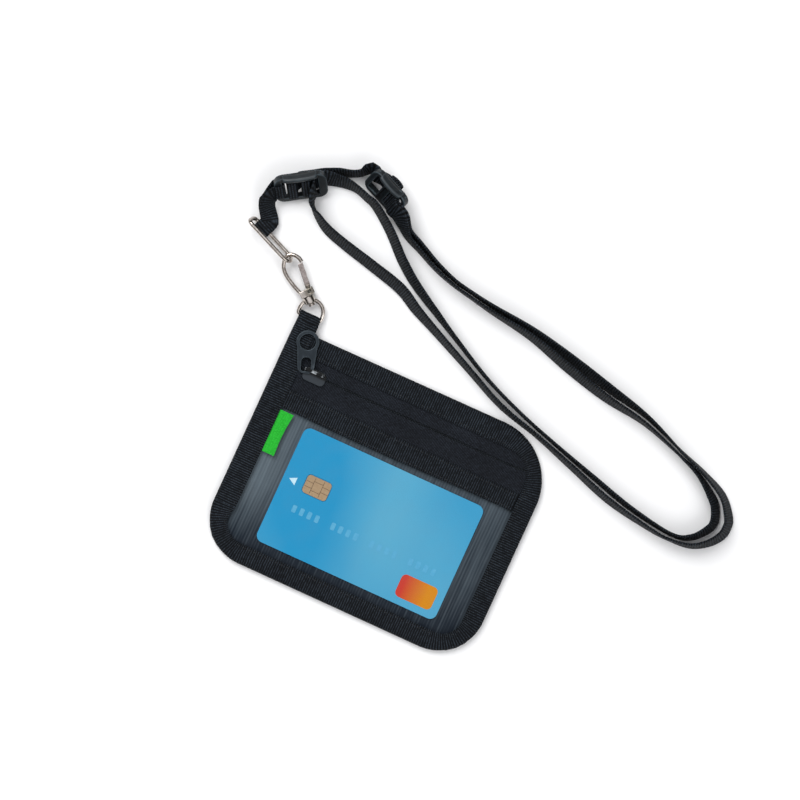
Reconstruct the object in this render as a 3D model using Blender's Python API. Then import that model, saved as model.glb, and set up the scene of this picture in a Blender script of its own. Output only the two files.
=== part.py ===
"""A neck wallet: a flat card pouch with a clear window, a zip and a snap hook on a webbing lanyard.

The pouch lies on its back with the zip along X. The origin is the centre of its back face, +Z is out
of the window, and +Y points to the zip and the lanyard. Lengths are in metres.
"""

import math

import bmesh
import bpy
from mathutils import Matrix, Vector

for old in list(bpy.data.objects):
    bpy.data.objects.remove(old, do_unlink=True)

# Gaps and steps that every piece shares
FIT = 0.0003
OVERRUN = 0.001
ROUND_STEPS = 8
WIRE_SIDES = 10
TURN_STEPS = 24
SHARP_ANGLE = math.radians(35)

# Pouch outline and its edge binding
POUCH_WIDTH = 0.1285
POUCH_HEIGHT = 0.104
CORNER_TOP_RIGHT = 0.0275
CORNER_BOTTOM = 0.0212
BINDING_LEFT = 0.009
BINDING_RIGHT = 0.0086
BINDING_BOTTOM = 0.0086
BINDING_TOP = 0.0097
WINDOW_CORNER_TOP_RIGHT = 0.012
WINDOW_CORNER_BOTTOM = 0.009
TAPE_LEAF = 0.0006
BINDING_WALL = 0.0007
SIDE_TAPE_WIDTH = 0.0101
SIDE_TAPE_START = 0.0215

# Layers of the pouch, from the back to the front
BACK_THICKNESS = 0.0005
CARD_THICKNESS = 0.00076
WINDOW_THICKNESS = 0.0003
ZIP_TAPE_THICKNESS = 0.0005

# Zip, with the tape of the same webbing that crosses the front below it
UPPER_TAPE_SHOWN = 0.0063
LOWER_TAPE_SHOWN = 0.0099
CROSS_TAPE_WIDTH = 0.0085
TAPE_SEAM = 0.0042
COIL_WIDTH = 0.0009
COIL_HEIGHT = 0.0012
COIL_PARTING = 0.0009

# Zip slider and its puller
SLIDER_LENGTH = 0.0102
SLIDER_WIDTH = 0.0059
SLIDER_OFFSET = 0.0005
SLIDER_FROM_BINDING = 0.0035
SLIDER_PLATE = 0.0006
SLIDER_RIM = 0.0006
SLIDER_POST = 0.0003
SLIDER_POST_LENGTH = 0.0025
BRIDGE_LENGTH = 0.0092
BRIDGE_WIDTH = 0.0013
BRIDGE_SHIFT = 0.0012
BRIDGE_BAR = 0.0009
PULLER_LENGTH = 0.0187
PULLER_THICKNESS = 0.0009
PULLER_BASE_WIDTH = 0.0074
PULLER_BASE_CORNER = 0.0028
PULLER_WAIST = 0.0088
PULLER_EYE_WIDTH = 0.01
PULLER_SLOT_WIDTH = 0.0042
PULLER_SLOT_LENGTH = 0.006
PULLER_BAR = 0.001
PULLER_HOLE = 0.007
PULLER_SIDE_SHIFT = 0.0002
PULLER_DIRECTION = math.radians(110)

# Card, its contact plate and the label
CARD_WIDTH = 0.0856
CARD_HEIGHT = 0.05398
CARD_CORNER = 0.0032
CARD_SHIFT_X = 0.00175
CARD_ABOVE_BINDING = 0.004
CHIP_WIDTH = 0.0113
CHIP_HEIGHT = 0.0083
CHIP_CORNER = 0.0015
CHIP_THICKNESS = 0.00016
CHIP_FROM_LEFT = 0.01545
CHIP_FROM_TOP = 0.0225
LABEL_WIDTH = 0.0082
LABEL_LENGTH = 0.02
LABEL_THICKNESS = 0.0004
LABEL_BELOW_TAPE = 0.0008

# Tab and the eye that hangs on it
TAB_LENGTH = 0.0078
EYE_WIRE = 0.0018
EYE_HALF_WIDTH = 0.0053
EYE_HEIGHT = 0.0082
EYE_LEG = 0.0026
EYE_CORNER = 0.0014
EYE_SHIFT = 0.0005
EYE_TILT = math.radians(8.5)
BOSS_ANGLE_SHARE = 0.64
BOSS_DIAMETER = 0.005
BOSS_LENGTH = 0.003
PIN_DIAMETER = 0.0014
PIN_HEAD = 0.0028
PIN_HEAD_THICKNESS = 0.001
HOOK_DIRECTION = math.radians(140)

# Snap hook
HOOK_WIRE = 0.0019
HOOK_LENGTH = 0.0216
HOOK_BASE_START = 0.0018
HOOK_BASE_LENGTH = 0.003
HOOK_BASE_LOW = 0.0026
HOOK_BASE_HIGH = 0.0034
HOOK_BASE_THICKNESS = 0.0046
HOOK_FORK = 0.0033
HOOK_FORK_FLOOR = 0.0002
GATE_PIN_DIAMETER = 0.0009
GATE_PIVOT_ALONG = 0.0017
GATE_PIVOT_UP = 0.0019
GATE_ROOT = 0.001
GATE_ROOT_THICKNESS = 0.0012
GATE_THICKNESS = 0.0018
GATE_WIDTH = 0.0022
GATE_TIP_UP = 0.0033
SPRING_WIRE = 0.00025
SPRING_PITCH = 0.00045
SPRING_TURNS = 2
# The hook's bend in shares of its length: along its axis, then across it to the gate's side
HOOK_BEND_SHARES = (
    (0.130, -0.080), (0.278, -0.134), (0.463, -0.181), (0.648, -0.208), (0.810, -0.185),
    (0.940, -0.102), (1.000, 0.009), (0.940, 0.120), (0.833, 0.185), (0.755, 0.194),
)

# Oval ring that the hook holds, standing on its long side
RING_WIRE = 0.0019
RING_LENGTH = 0.0265
RING_WIDTH = 0.0095
RING_CORNER = 0.0022
RING_END_SHARE = 0.999
RING_DIRECTION = math.radians(157.5)
RING_LEAN = math.radians(68)
RING_CENTRE = (-0.08834, 0.08157)
RING_LIFT = 0.0003

# Lanyard webbing and its two buckles
STRAP_WIDTH = 0.01
STRAP_THICKNESS = 0.0011
STRAP_STEP = 0.003
PAST_FRAME = 0.0011
STRAP_ABOVE_TABLE = 0.0005
# Where each wrap round a bar starts and ends, in degrees from the buckle's length to its front
WRAP_STEP = 15
OUTER_WRAP = (-20, 250)
INNER_WRAP = (270, -20)
SLIDE_WRAP = (20, -250)
END_LOOP_WRAP = (133, -152)
RING_WRAP = (-60, -300)
BUCKLE_WIDTH = 0.015
BUCKLE_THICKNESS = 0.003
BUCKLE_CORNER = 0.004
SLOT_WIDTH = 0.0108
SLOT_CORNER = 0.0008
JOINER_LEFT_BAR = 0.0035
JOINER_FIRST_SLOT = 0.0031
JOINER_BAR = 0.002
JOINER_SLOT = 0.0043
JOINER_RIGHT_BAR = 0.0037
JOINER_CENTRE = (-0.0863, 0.1082, 0.0074)
JOINER_DIRECTION = math.radians(32.5)
JOINER_LEAN = math.radians(53)
SLIDE_END_BAR = 0.0024
SLIDE_BAR = 0.0025
SLIDE_SLOT = 0.0064
SLIDE_CENTRE = (-0.0515, 0.1213, 0.0077)
SLIDE_DIRECTION = math.radians(-23)
SLIDE_LEAN = math.radians(57)
END_LOOP_WIDTH = 0.0076
END_LOOP_THICKNESS = 0.0009
END_LOOP_SPREAD = 0.00065
END_LOOP_FROM_CENTRE = 0.0062
END_FOLD_LENGTH = 0.0072
END_FOLD_THICKNESS = 0.0013

# Routes that leave the table: x, y, z and how far the webbing is turned up from flat, to its left
OUTER_LEAD = (
    (-0.0793, 0.1077, 0.0095, 112), (-0.0790, 0.1052, 0.0086, 102), (-0.0778, 0.1027, 0.0070, 90),
    (-0.0754, 0.1003, 0.0058, 80),
)
END_LOOP_ROUTE = (
    (-0.0922, 0.0888, 0.0026, 12), (-0.0940, 0.0912, 0.0033, 24), (-0.0958, 0.0937, 0.0048, 38),
    (-0.0967, 0.0960, 0.0070, 46), (-0.0965, 0.0984, 0.0090, 50),
)
# Routes on the table: x, y and the same turn
OUTER_ROUTE = (
    (-0.0685, 0.0961, 70), (-0.0586, 0.0931, 68), (-0.0436, 0.0896, 66), (-0.0286, 0.0857, 65),
    (-0.0186, 0.0804, 68), (-0.0083, 0.0757, 74), (0.0121, 0.0665, 79), (0.0321, 0.0576, 81),
    (0.0520, 0.0522, 84), (0.0718, 0.0460, 80), (0.0918, 0.0397, 78), (0.1118, 0.0361, 84),
    (0.1218, 0.0353, 87), (0.1318, 0.0366, 80), (0.1386, 0.0409, 72), (0.1425, 0.0463, 66),
    (0.1431, 0.0503, 65), (0.1421, 0.0545, 66), (0.1358, 0.0621, 72), (0.1248, 0.0676, 80),
    (0.1118, 0.0722, 86), (0.0918, 0.0797, 96), (0.0718, 0.0841, 108), (0.0518, 0.0887, 110),
    (0.0318, 0.0929, 104), (0.0118, 0.0953, 96), (0.0018, 0.0968, 93), (-0.0083, 0.0987, 93),
    (-0.0183, 0.1022, 95), (-0.0283, 0.1069, 97), (-0.0363, 0.1106, 101),
)
TOP_ROUTE = (
    (-0.0633, 0.1263, 108), (-0.0647, 0.1244, 103), (-0.0671, 0.1229, 102), (-0.0700, 0.1217, 104),
    (-0.0733, 0.1206, 108),
)
INNER_ROUTE = (
    (-0.0733, 0.1170, 62), (-0.0683, 0.1176, 68), (-0.0633, 0.1171, 76), (-0.0583, 0.1156, 76),
    (-0.0530, 0.1137, 73), (-0.0430, 0.1065, 70), (-0.0329, 0.0972, 69), (-0.0229, 0.0899, 71),
    (-0.0080, 0.0815, 79), (0.0020, 0.0761, 84), (0.0218, 0.0659, 87), (0.0418, 0.0581, 88),
    (0.0618, 0.0519, 87), (0.0818, 0.0461, 83), (0.1018, 0.0407, 82), (0.1218, 0.0378, 85),
    (0.1306, 0.0401, 76), (0.1361, 0.0463, 68), (0.1371, 0.0503, 66), (0.1359, 0.0543, 66),
    (0.1327, 0.0588, 68), (0.1228, 0.0659, 80), (0.1118, 0.0703, 87), (0.0918, 0.0767, 96),
    (0.0718, 0.0798, 106), (0.0518, 0.0847, 109), (0.0318, 0.0902, 103), (0.0118, 0.0930, 95),
    (0.0018, 0.0947, 92), (-0.0083, 0.0967, 92), (-0.0183, 0.0998, 94), (-0.0283, 0.1044, 97),
    (-0.0352, 0.1076, 102),
)


# Shared shapes


def material(name, colour, roughness, metallic=0.0):
    """A plain material of one sRGB colour."""
    made = bpy.data.materials.new(name)
    made.use_nodes = True
    shader = made.node_tree.nodes["Principled BSDF"]
    parts = [int(colour[i : i + 2], 16) / 255 for i in (0, 2, 4)]
    linear = [c / 12.92 if c <= 0.04045 else ((c + 0.055) / 1.055) ** 2.4 for c in parts]
    shader.inputs["Base Color"].default_value = (*linear, 1.0)
    shader.inputs["Roughness"].default_value = roughness
    shader.inputs["Metallic"].default_value = metallic
    return made


def add_object(name, bm, finish, matrix=None):
    """An object from a bmesh, smooth but for its sharp edges."""
    bmesh.ops.recalc_face_normals(bm, faces=bm.faces)
    mesh = bpy.data.meshes.new(name)
    bm.to_mesh(mesh)
    bm.free()
    mesh.shade_smooth()
    mesh.set_sharp_from_angle(angle=SHARP_ANGLE)
    if finish:
        mesh.materials.append(finish)
    made = bpy.data.objects.new(name, mesh)
    bpy.context.scene.collection.objects.link(made)
    made.matrix_world = matrix or Matrix()
    return made


def rounded(x0, x1, y0, y1, radii):
    """A rectangle's outline, turning left from its lower left corner, with a radius for each corner."""
    corners = ((x0, y0, 180), (x1, y0, 270), (x1, y1, 0), (x0, y1, 90))
    inward = ((1, 1), (-1, 1), (-1, -1), (1, -1))
    points = []
    for (x, y, start), (sx, sy), radius in zip(corners, inward, radii):
        if radius <= 0:
            points.append((x, y))
            continue
        for step in range(ROUND_STEPS + 1):
            angle = math.radians(start + 90 * step / ROUND_STEPS)
            points.append(
                (x + sx * radius + radius * math.cos(angle), y + sy * radius + radius * math.sin(angle))
            )
    return points


def keep_between(points, low, high):
    """The part of a convex outline between two heights in Y."""
    for limit, side in ((low, 1), (high, -1)):
        kept = []
        for (x0, y0), (x1, y1) in zip(points, points[1:] + points[:1]):
            inside0 = side * (y0 - limit) >= 0
            inside1 = side * (y1 - limit) >= 0
            if inside0:
                kept.append((x0, y0))
            if inside0 != inside1:
                share = (limit - y0) / (y1 - y0)
                kept.append((x0 + share * (x1 - x0), limit))
        points = kept
    return points


def prism(points, z0, z1):
    """A closed solid between two heights over an outline."""
    bm = bmesh.new()
    low = bm.faces.new([bm.verts.new((x, y, z0)) for x, y in points])
    raised = bmesh.ops.extrude_face_region(bm, geom=[low])["geom"]
    moved = [v for v in raised if isinstance(v, bmesh.types.BMVert)]
    bmesh.ops.translate(bm, verts=moved, vec=(0, 0, z1 - z0))
    return bm


def box(x0, x1, y0, y1, z0, z1):
    return prism([(x0, y0), (x1, y0), (x1, y1), (x0, y1)], z0, z1)


def rod(start, end, radius, sides=TURN_STEPS):
    """A cylinder between two points."""
    start, end = Vector(start), Vector(end)
    bm = bmesh.new()
    bmesh.ops.create_cone(
        bm, cap_ends=True, segments=sides, radius1=radius, radius2=radius, depth=(end - start).length
    )
    turn = Vector((0, 0, 1)).rotation_difference(end - start).to_matrix().to_4x4()
    bmesh.ops.transform(bm, matrix=Matrix.Translation((start + end) / 2) @ turn, verts=bm.verts)
    return bm


def tangents(centres, closed):
    found = []
    last = len(centres) - 1
    for i, _ in enumerate(centres):
        before = centres[i - 1] if i or closed else centres[i]
        after = centres[(i + 1) % (last + 1)] if i < last or closed else centres[i]
        found.append((after - before).normalized())
    return found


def sweep(centres, across, section, closed=False):
    """A section carried along a line, its first axis along the given directions."""
    bm = bmesh.new()
    rings = []
    for centre, along, wide in zip(centres, tangents(centres, closed), across):
        wide = (wide - along * wide.dot(along)).normalized()
        high = along.cross(wide)
        rings.append([bm.verts.new(centre + wide * x + high * y) for x, y in section])
    count = len(section)
    pairs = list(zip(rings, rings[1:]))
    if closed:
        pairs.append((rings[-1], rings[0]))
    for near, far in pairs:
        for i in range(count):
            j = (i + 1) % count
            bm.faces.new((near[i], near[j], far[j], far[i]))
    if not closed:
        bm.faces.new(rings[0][::-1])
        bm.faces.new(rings[-1])
    return bm


def circle(radius, sides):
    return [
        (radius * math.cos(math.tau * i / sides), radius * math.sin(math.tau * i / sides))
        for i in range(sides)
    ]


def wire(centres, diameter, up=(0, 0, 1), closed=False):
    """A round wire along a line that stays square to one direction."""
    return sweep(centres, [Vector(up)] * len(centres), circle(diameter / 2, WIRE_SIDES), closed)


def tape_section(width, thickness):
    w, t = width / 2, thickness / 2
    return [(-w, -t), (w, -t), (w, t), (-w, t)]


def smooth_line(points, step):
    """Points read at about equal steps from a smooth curve through the given ones, of any dimension."""
    read = []
    for i in range(len(points) - 1):
        p0 = points[max(i - 1, 0)]
        p1, p2 = points[i], points[i + 1]
        p3 = points[min(i + 2, len(points) - 1)]
        span = math.dist(p1[:3], p2[:3])
        pieces = max(1, round(span / step))
        for k in range(pieces):
            t = k / pieces
            read.append([
                b + 0.5 * t * (c - a + t * (2 * a - 5 * b + 4 * c - d + t * (3 * (b - c) + d - a)))
                for a, b, c, d in zip(p0, p1, p2, p3)
            ])
    read.append(list(points[-1]))
    return read


def reshape(target, tool_name, bm, operation, matrix=None):
    """Cuts a hidden shape from an object, or joins it on."""
    tool = add_object(tool_name, bm, None, matrix)
    tool.hide_render = True
    tool.display_type = "WIRE"
    change = target.modifiers.new(tool_name, "BOOLEAN")
    change.operation = operation
    change.solver = "EXACT"
    change.object = tool


# Heights of the layers

back_low = TAPE_LEAF + FIT
back_high = back_low + BACK_THICKNESS
card_low = back_high + FIT
card_high = card_low + CARD_THICKNESS
front_low = card_high + FIT
window_high = front_low + WINDOW_THICKNESS
zip_high = front_low + ZIP_TAPE_THICKNESS
cover_low = zip_high + FIT
binding_high = cover_low + TAPE_LEAF

# Places across the pouch

left, right = -POUCH_WIDTH / 2, POUCH_WIDTH / 2
bottom, top = -POUCH_HEIGHT / 2, POUCH_HEIGHT / 2
open_left, open_right = left + BINDING_LEFT, right - BINDING_RIGHT
open_bottom, open_top = bottom + BINDING_BOTTOM, top - BINDING_TOP
coil_line = open_top - UPPER_TAPE_SHOWN
cross_high = coil_line - LOWER_TAPE_SHOWN
cross_low = cross_high - CROSS_TAPE_WIDTH
side_edge = left + SIDE_TAPE_WIDTH

webbing = material("black_webbing", "2B313B", 0.85)
tape_cloth = material("charcoal_tape", "333A44", 0.85)
clear_film = material("clear_film", "8E979E", 0.2)
back_cloth = material("back_cloth", "2F353E", 0.9)
zip_cloth = material("zip_tape_cloth", "3A424C", 0.85)
coil_plastic = material("coil_plastic", "20252C", 0.5)
slider_enamel = material("slider_enamel", "15181C", 0.35, 0.3)
puller_metal = material("puller_metal", "4A5057", 0.4, 0.8)
card_plastic = material("card_plastic", "3AA5D8", 0.35)
chip_metal = material("chip_metal", "D9B24C", 0.3, 0.9)
label_cloth = material("green_label", "2BD62B", 0.8)
nickel = material("nickel", "B9B4AA", 0.25, 1.0)
spring_steel = material("spring_steel", "8C8F93", 0.35, 1.0)
buckle_plastic = material("black_plastic", "2A2E34", 0.45)


def inside_outline(inset):
    """The pouch's outline, drawn in by an inset, with its upper left corner square."""
    bottom_radius = CORNER_BOTTOM - inset
    return rounded(
        left + inset, right - inset, bottom + inset, top - inset,
        (bottom_radius, bottom_radius, CORNER_TOP_RIGHT - inset, 0),
    )


def opening_outline(inset):
    """The opening in the binding, drawn in by an inset."""
    bottom_radius = WINDOW_CORNER_BOTTOM - inset
    return rounded(
        open_left + inset, open_right - inset, open_bottom + inset, open_top - inset,
        (bottom_radius, bottom_radius, WINDOW_CORNER_TOP_RIGHT - inset, 0),
    )


def panel(name, low, high, z0, z1, finish):
    """A sheet between two heights, reaching into the binding's fold all round."""
    outline = keep_between(inside_outline(BINDING_WALL + FIT), low, high)
    return add_object(name, prism(outline, z0, z1), finish)


def bind(target):
    """Opens a solid slab into a folded tape: a groove for the panels, and the window's opening."""
    groove = prism(inside_outline(BINDING_WALL), TAPE_LEAF, cover_low)
    reshape(target, target.name + "_groove", groove, "DIFFERENCE")
    opening = prism(opening_outline(0), -OVERRUN, binding_high + OVERRUN)
    reshape(target, target.name + "_opening", opening, "DIFFERENCE")


# Panels

back_panel = panel("back_panel", bottom, top, back_low, back_high, back_cloth)
# Its middle fills the binding's opening down to the table
back_middle = prism(opening_outline(FIT), 0, (back_low + back_high) / 2)
reshape(back_panel, "back_panel_middle", back_middle, "UNION")
seam_edge = cross_low + TAPE_SEAM
panel("window_sheet", bottom, seam_edge, front_low, window_high, clear_film)
half_parting = COIL_PARTING / 2
lower_tape_edge = coil_line - half_parting - COIL_WIDTH - FIT
upper_tape_edge = coil_line + half_parting + COIL_WIDTH + FIT
panel("zip_tape_lower", seam_edge + FIT, lower_tape_edge, front_low, zip_high, zip_cloth)
panel("zip_tape_upper", upper_tape_edge, top, front_low, zip_high, zip_cloth)
cross_outline = keep_between(opening_outline(FIT), cross_low, cross_high)
add_object("cross_tape", prism(cross_outline, cover_low, binding_high), tape_cloth)

# Binding round the edge, with the tape of the left side made as its own piece that runs on into the tab

side_low = bottom + SIDE_TAPE_START
edge_binding = add_object("edge_binding", prism(inside_outline(0), 0, binding_high), tape_cloth)
side_cut = box(
    left - OVERRUN, side_edge + FIT, side_low - FIT, top + OVERRUN, -OVERRUN, binding_high + OVERRUN
)
reshape(edge_binding, "edge_binding_side", side_cut, "DIFFERENCE")
bind(edge_binding)

bar_y = top + TAB_LENGTH - binding_high / 2
bar_z = binding_high / 2
eye_x = (left + side_edge) / 2 - EYE_SHIFT
tab_half = EYE_HALF_WIDTH - EYE_WIRE / 2 - FIT
shoulder_y = bar_y - EYE_WIRE / 2 - FIT - OVERRUN / 2
side_binding = add_object(
    "side_binding", box(left, side_edge, side_low, shoulder_y, 0, binding_high), tape_cloth
)
bind(side_binding)
tab_outline = [(shoulder_y - OVERRUN, binding_high), (shoulder_y - OVERRUN, 0)] + [
    (bar_y + bar_z * math.sin(math.pi * i / TURN_STEPS), bar_z - bar_z * math.cos(math.pi * i / TURN_STEPS))
    for i in range(TURN_STEPS + 1)
]
sideways = Matrix(((0, 0, 1, 0), (1, 0, 0, 0), (0, 1, 0, 0), (0, 0, 0, 1)))
tab = prism(tab_outline, eye_x - tab_half, eye_x + tab_half)
reshape(side_binding, "side_binding_tab", tab, "UNION", sideways)
bar_hole = rod(
    (eye_x - tab_half - OVERRUN, bar_y, bar_z),
    (eye_x + tab_half + OVERRUN, bar_y, bar_z),
    EYE_WIRE / 2 + FIT,
)
reshape(side_binding, "side_binding_bar_hole", bar_hole, "DIFFERENCE")

label_high = cross_low - LABEL_BELOW_TAPE
add_object(
    "side_label",
    box(
        open_left + FIT, open_left + LABEL_WIDTH, label_high - LABEL_LENGTH, label_high,
        window_high + FIT, window_high + FIT + LABEL_THICKNESS,
    ),
    label_cloth,
)

# Zip coils: two bars with the slider's post running between them

coil_high = front_low + COIL_HEIGHT
for name, y0 in (
    ("zip_coil_lower", coil_line - half_parting - COIL_WIDTH),
    ("zip_coil_upper", coil_line + half_parting),
):
    coil_outline = keep_between(opening_outline(FIT), y0, y0 + COIL_WIDTH)
    add_object(name, prism(coil_outline, front_low, coil_high), coil_plastic)

# Slider: an upper and a lower plate joined by a post, with a bridge over the upper plate

slider_left = open_left + SLIDER_FROM_BINDING
slider_right = slider_left + SLIDER_LENGTH
slider_low = coil_line - SLIDER_OFFSET - SLIDER_WIDTH / 2
slider_high = slider_low + SLIDER_WIDTH
plate_low = coil_high + FIT
plate_high = plate_low + SLIDER_PLATE
slider_corner = SLIDER_WIDTH / 3
slider_outline = rounded(slider_left, slider_right, slider_low, slider_high, (slider_corner,) * 4)
slider = add_object("slider_body", prism(slider_outline, plate_low, plate_high), slider_enamel)
under_high = front_low - FIT
reshape(
    slider, "slider_under_plate",
    prism(slider_outline, under_high - SLIDER_PLATE, under_high), "UNION",
)
post_x = slider_left + slider_corner
reshape(
    slider, "slider_post",
    box(
        post_x, post_x + SLIDER_POST_LENGTH, coil_line - SLIDER_POST / 2, coil_line + SLIDER_POST / 2,
        under_high - SLIDER_PLATE / 2, plate_low + SLIDER_PLATE / 2,
    ),
    "UNION",
)
for name, y0 in (
    ("slider_lower_rim", slider_low),
    ("slider_upper_rim", slider_high - SLIDER_RIM),
):
    rim = box(
        slider_left + slider_corner, slider_right - slider_corner, y0, y0 + SLIDER_RIM,
        cover_low, plate_low + SLIDER_PLATE / 2,
    )
    reshape(slider, name, rim, "UNION")

puller_low = plate_high + FIT
puller_high = puller_low + PULLER_THICKNESS
bridge_low = puller_high + FIT
bridge_high = bridge_low + BRIDGE_BAR
bridge_y = coil_line + BRIDGE_SHIFT
bridge_bar = box(
    slider_left, slider_left + BRIDGE_LENGTH, bridge_y - BRIDGE_WIDTH / 2, bridge_y + BRIDGE_WIDTH / 2,
    bridge_low, bridge_high,
)
reshape(slider, "slider_bridge", bridge_bar, "UNION")
for name, x0 in (
    ("slider_left_foot", slider_left),
    ("slider_right_foot", slider_left + BRIDGE_LENGTH - BRIDGE_BAR),
):
    foot = box(
        x0, x0 + BRIDGE_BAR, bridge_y - BRIDGE_WIDTH / 2, bridge_y + BRIDGE_WIDTH / 2,
        plate_low + SLIDER_PLATE / 2, bridge_low + BRIDGE_BAR / 2,
    )
    reshape(slider, name, foot, "UNION")

# Puller: a flat link turned aside round the bridge's left foot

foot_x = slider_left + BRIDGE_BAR / 2
pivot_along = PULLER_BAR + math.hypot(BRIDGE_BAR, BRIDGE_WIDTH) / 2 + FIT
puller_place = Matrix.Translation((foot_x, bridge_y, 0)) @ Matrix.Rotation(
    PULLER_DIRECTION - math.pi / 2, 4, "Z"
)
mid = -PULLER_SIDE_SHIFT
eye_radius = PULLER_EYE_WIDTH / 2
eye_centre = PULLER_LENGTH - eye_radius - pivot_along
neck_angle = -math.acos(PULLER_WAIST / PULLER_EYE_WIDTH)
head_turn = math.pi - 2 * neck_angle
corner_out = PULLER_BASE_WIDTH / 2 - PULLER_BASE_CORNER
corner_up = PULLER_BASE_CORNER - pivot_along
puller_outline = []
for corner_x, start in ((mid - corner_out, math.pi), (mid + corner_out, math.pi * 3 / 2)):
    for i in range(ROUND_STEPS + 1):
        angle = start + math.pi / 2 * i / ROUND_STEPS
        puller_outline.append((
            corner_x + PULLER_BASE_CORNER * math.cos(angle), corner_up + PULLER_BASE_CORNER * math.sin(angle)
        ))
for i in range(TURN_STEPS + 1):
    angle = neck_angle + head_turn * i / TURN_STEPS
    puller_outline.append((mid + eye_radius * math.cos(angle), eye_centre + eye_radius * math.sin(angle)))
puller = add_object("puller", prism(puller_outline, puller_low, puller_high), puller_metal, puller_place)
slot_low = PULLER_BAR - pivot_along
slot_outline = rounded(
    mid - PULLER_SLOT_WIDTH / 2, mid + PULLER_SLOT_WIDTH / 2, slot_low, slot_low + PULLER_SLOT_LENGTH,
    (PULLER_SLOT_WIDTH / 4,) * 2 + (PULLER_SLOT_WIDTH / 2 - FIT,) * 2,
)
slot = prism(slot_outline, puller_low - OVERRUN, puller_high + OVERRUN)
reshape(puller, "puller_slot", slot, "DIFFERENCE", puller_place)
hole = rod(
    (mid, eye_centre, puller_low - OVERRUN), (mid, eye_centre, puller_high + OVERRUN), PULLER_HOLE / 2
)
reshape(puller, "puller_hole", hole, "DIFFERENCE", puller_place)

# Card with a contact plate let into it

card_x0 = CARD_SHIFT_X - CARD_WIDTH / 2
card_y0 = open_bottom + CARD_ABOVE_BINDING
card_outline = rounded(card_x0, card_x0 + CARD_WIDTH, card_y0, card_y0 + CARD_HEIGHT, (CARD_CORNER,) * 4)
card = add_object("card", prism(card_outline, card_low, card_high), card_plastic)
chip_x = card_x0 + CHIP_FROM_LEFT
chip_y = card_y0 + CARD_HEIGHT - CHIP_FROM_TOP
chip_box = (
    chip_x - CHIP_WIDTH / 2, chip_x + CHIP_WIDTH / 2, chip_y - CHIP_HEIGHT / 2, chip_y + CHIP_HEIGHT / 2,
)
chip_outline = rounded(*chip_box, (CHIP_CORNER,) * 4)
add_object("card_chip", prism(chip_outline, card_high - CHIP_THICKNESS, card_high), chip_metal)
pocket_outline = rounded(
    chip_box[0] - FIT, chip_box[1] + FIT, chip_box[2] - FIT, chip_box[3] + FIT, (CHIP_CORNER + FIT,) * 4
)
pocket = prism(pocket_outline, card_high - CHIP_THICKNESS - FIT, card_high + OVERRUN)
reshape(card, "card_pocket", pocket, "DIFFERENCE")

# Eye: a D of wire hung in the tab, with a boss for the hook's pin

clip_place = Matrix.Translation((eye_x, bar_y, bar_z)) @ Matrix.Rotation(EYE_TILT, 4, "X")


def eye_line():
    """The D's closed centreline in its own plane, from the bar's left end round to the left leg."""
    line = []
    inner = EYE_HALF_WIDTH - EYE_CORNER
    line.append(Vector((-inner / 2, 0, 0)))
    line.append(Vector((inner / 2, 0, 0)))
    for i in range(ROUND_STEPS // 2 + 1):
        angle = -math.pi / 2 * (1 - 2 * i / ROUND_STEPS)
        line.append(Vector((
            inner + EYE_CORNER * math.cos(angle), EYE_CORNER + EYE_CORNER * math.sin(angle), 0
        )))
    for i in range(TURN_STEPS + 1):
        angle = math.pi * i / TURN_STEPS
        line.append(Vector((
            EYE_HALF_WIDTH * math.cos(angle), EYE_LEG + (EYE_HEIGHT - EYE_LEG) * math.sin(angle), 0
        )))
    for i in range(ROUND_STEPS // 2 + 1):
        angle = -math.pi / 2 * (2 * i / ROUND_STEPS)
        line.append(Vector((
            -inner - EYE_CORNER * math.cos(angle), EYE_CORNER + EYE_CORNER * math.sin(angle), 0
        )))
    return line


swivel_eye = add_object("swivel_eye", wire(eye_line(), EYE_WIRE, closed=True), nickel, clip_place)
boss_angle = BOSS_ANGLE_SHARE * math.pi / 2
boss_x = -EYE_HALF_WIDTH * math.cos(boss_angle)
boss_y = EYE_LEG + (EYE_HEIGHT - EYE_LEG) * math.sin(boss_angle)
# The hook's frame: X along its swivel axis, Y to the gate's side
hook_place = (
    clip_place
    @ Matrix.Translation((boss_x, boss_y, 0))
    @ Matrix.Rotation(HOOK_DIRECTION, 4, "Z")
    @ Matrix.Rotation(math.pi, 4, "X")
)
half_boss = BOSS_LENGTH / 2
boss = rod((-half_boss, 0, 0), (half_boss, 0, 0), BOSS_DIAMETER / 2)
reshape(swivel_eye, "swivel_eye_boss", boss, "UNION", hook_place)
bore = rod(
    (-half_boss - OVERRUN, 0, 0), (half_boss + OVERRUN, 0, 0), PIN_DIAMETER / 2 + FIT
)
reshape(swivel_eye, "swivel_eye_bore", bore, "DIFFERENCE", hook_place)
head_start = -half_boss - FIT - PIN_HEAD_THICKNESS
swivel_pin = add_object(
    "swivel_pin",
    rod((head_start, 0, 0), (-half_boss - FIT, 0, 0), PIN_HEAD / 2), nickel, hook_place,
)
shank = rod(
    (head_start + PIN_HEAD_THICKNESS / 2, 0, 0), (HOOK_BASE_START - FIT, 0, 0), PIN_DIAMETER / 2
)
reshape(swivel_pin, "swivel_pin_shank", shank, "UNION", hook_place)

# Hook: a forked base with a bent wire

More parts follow.
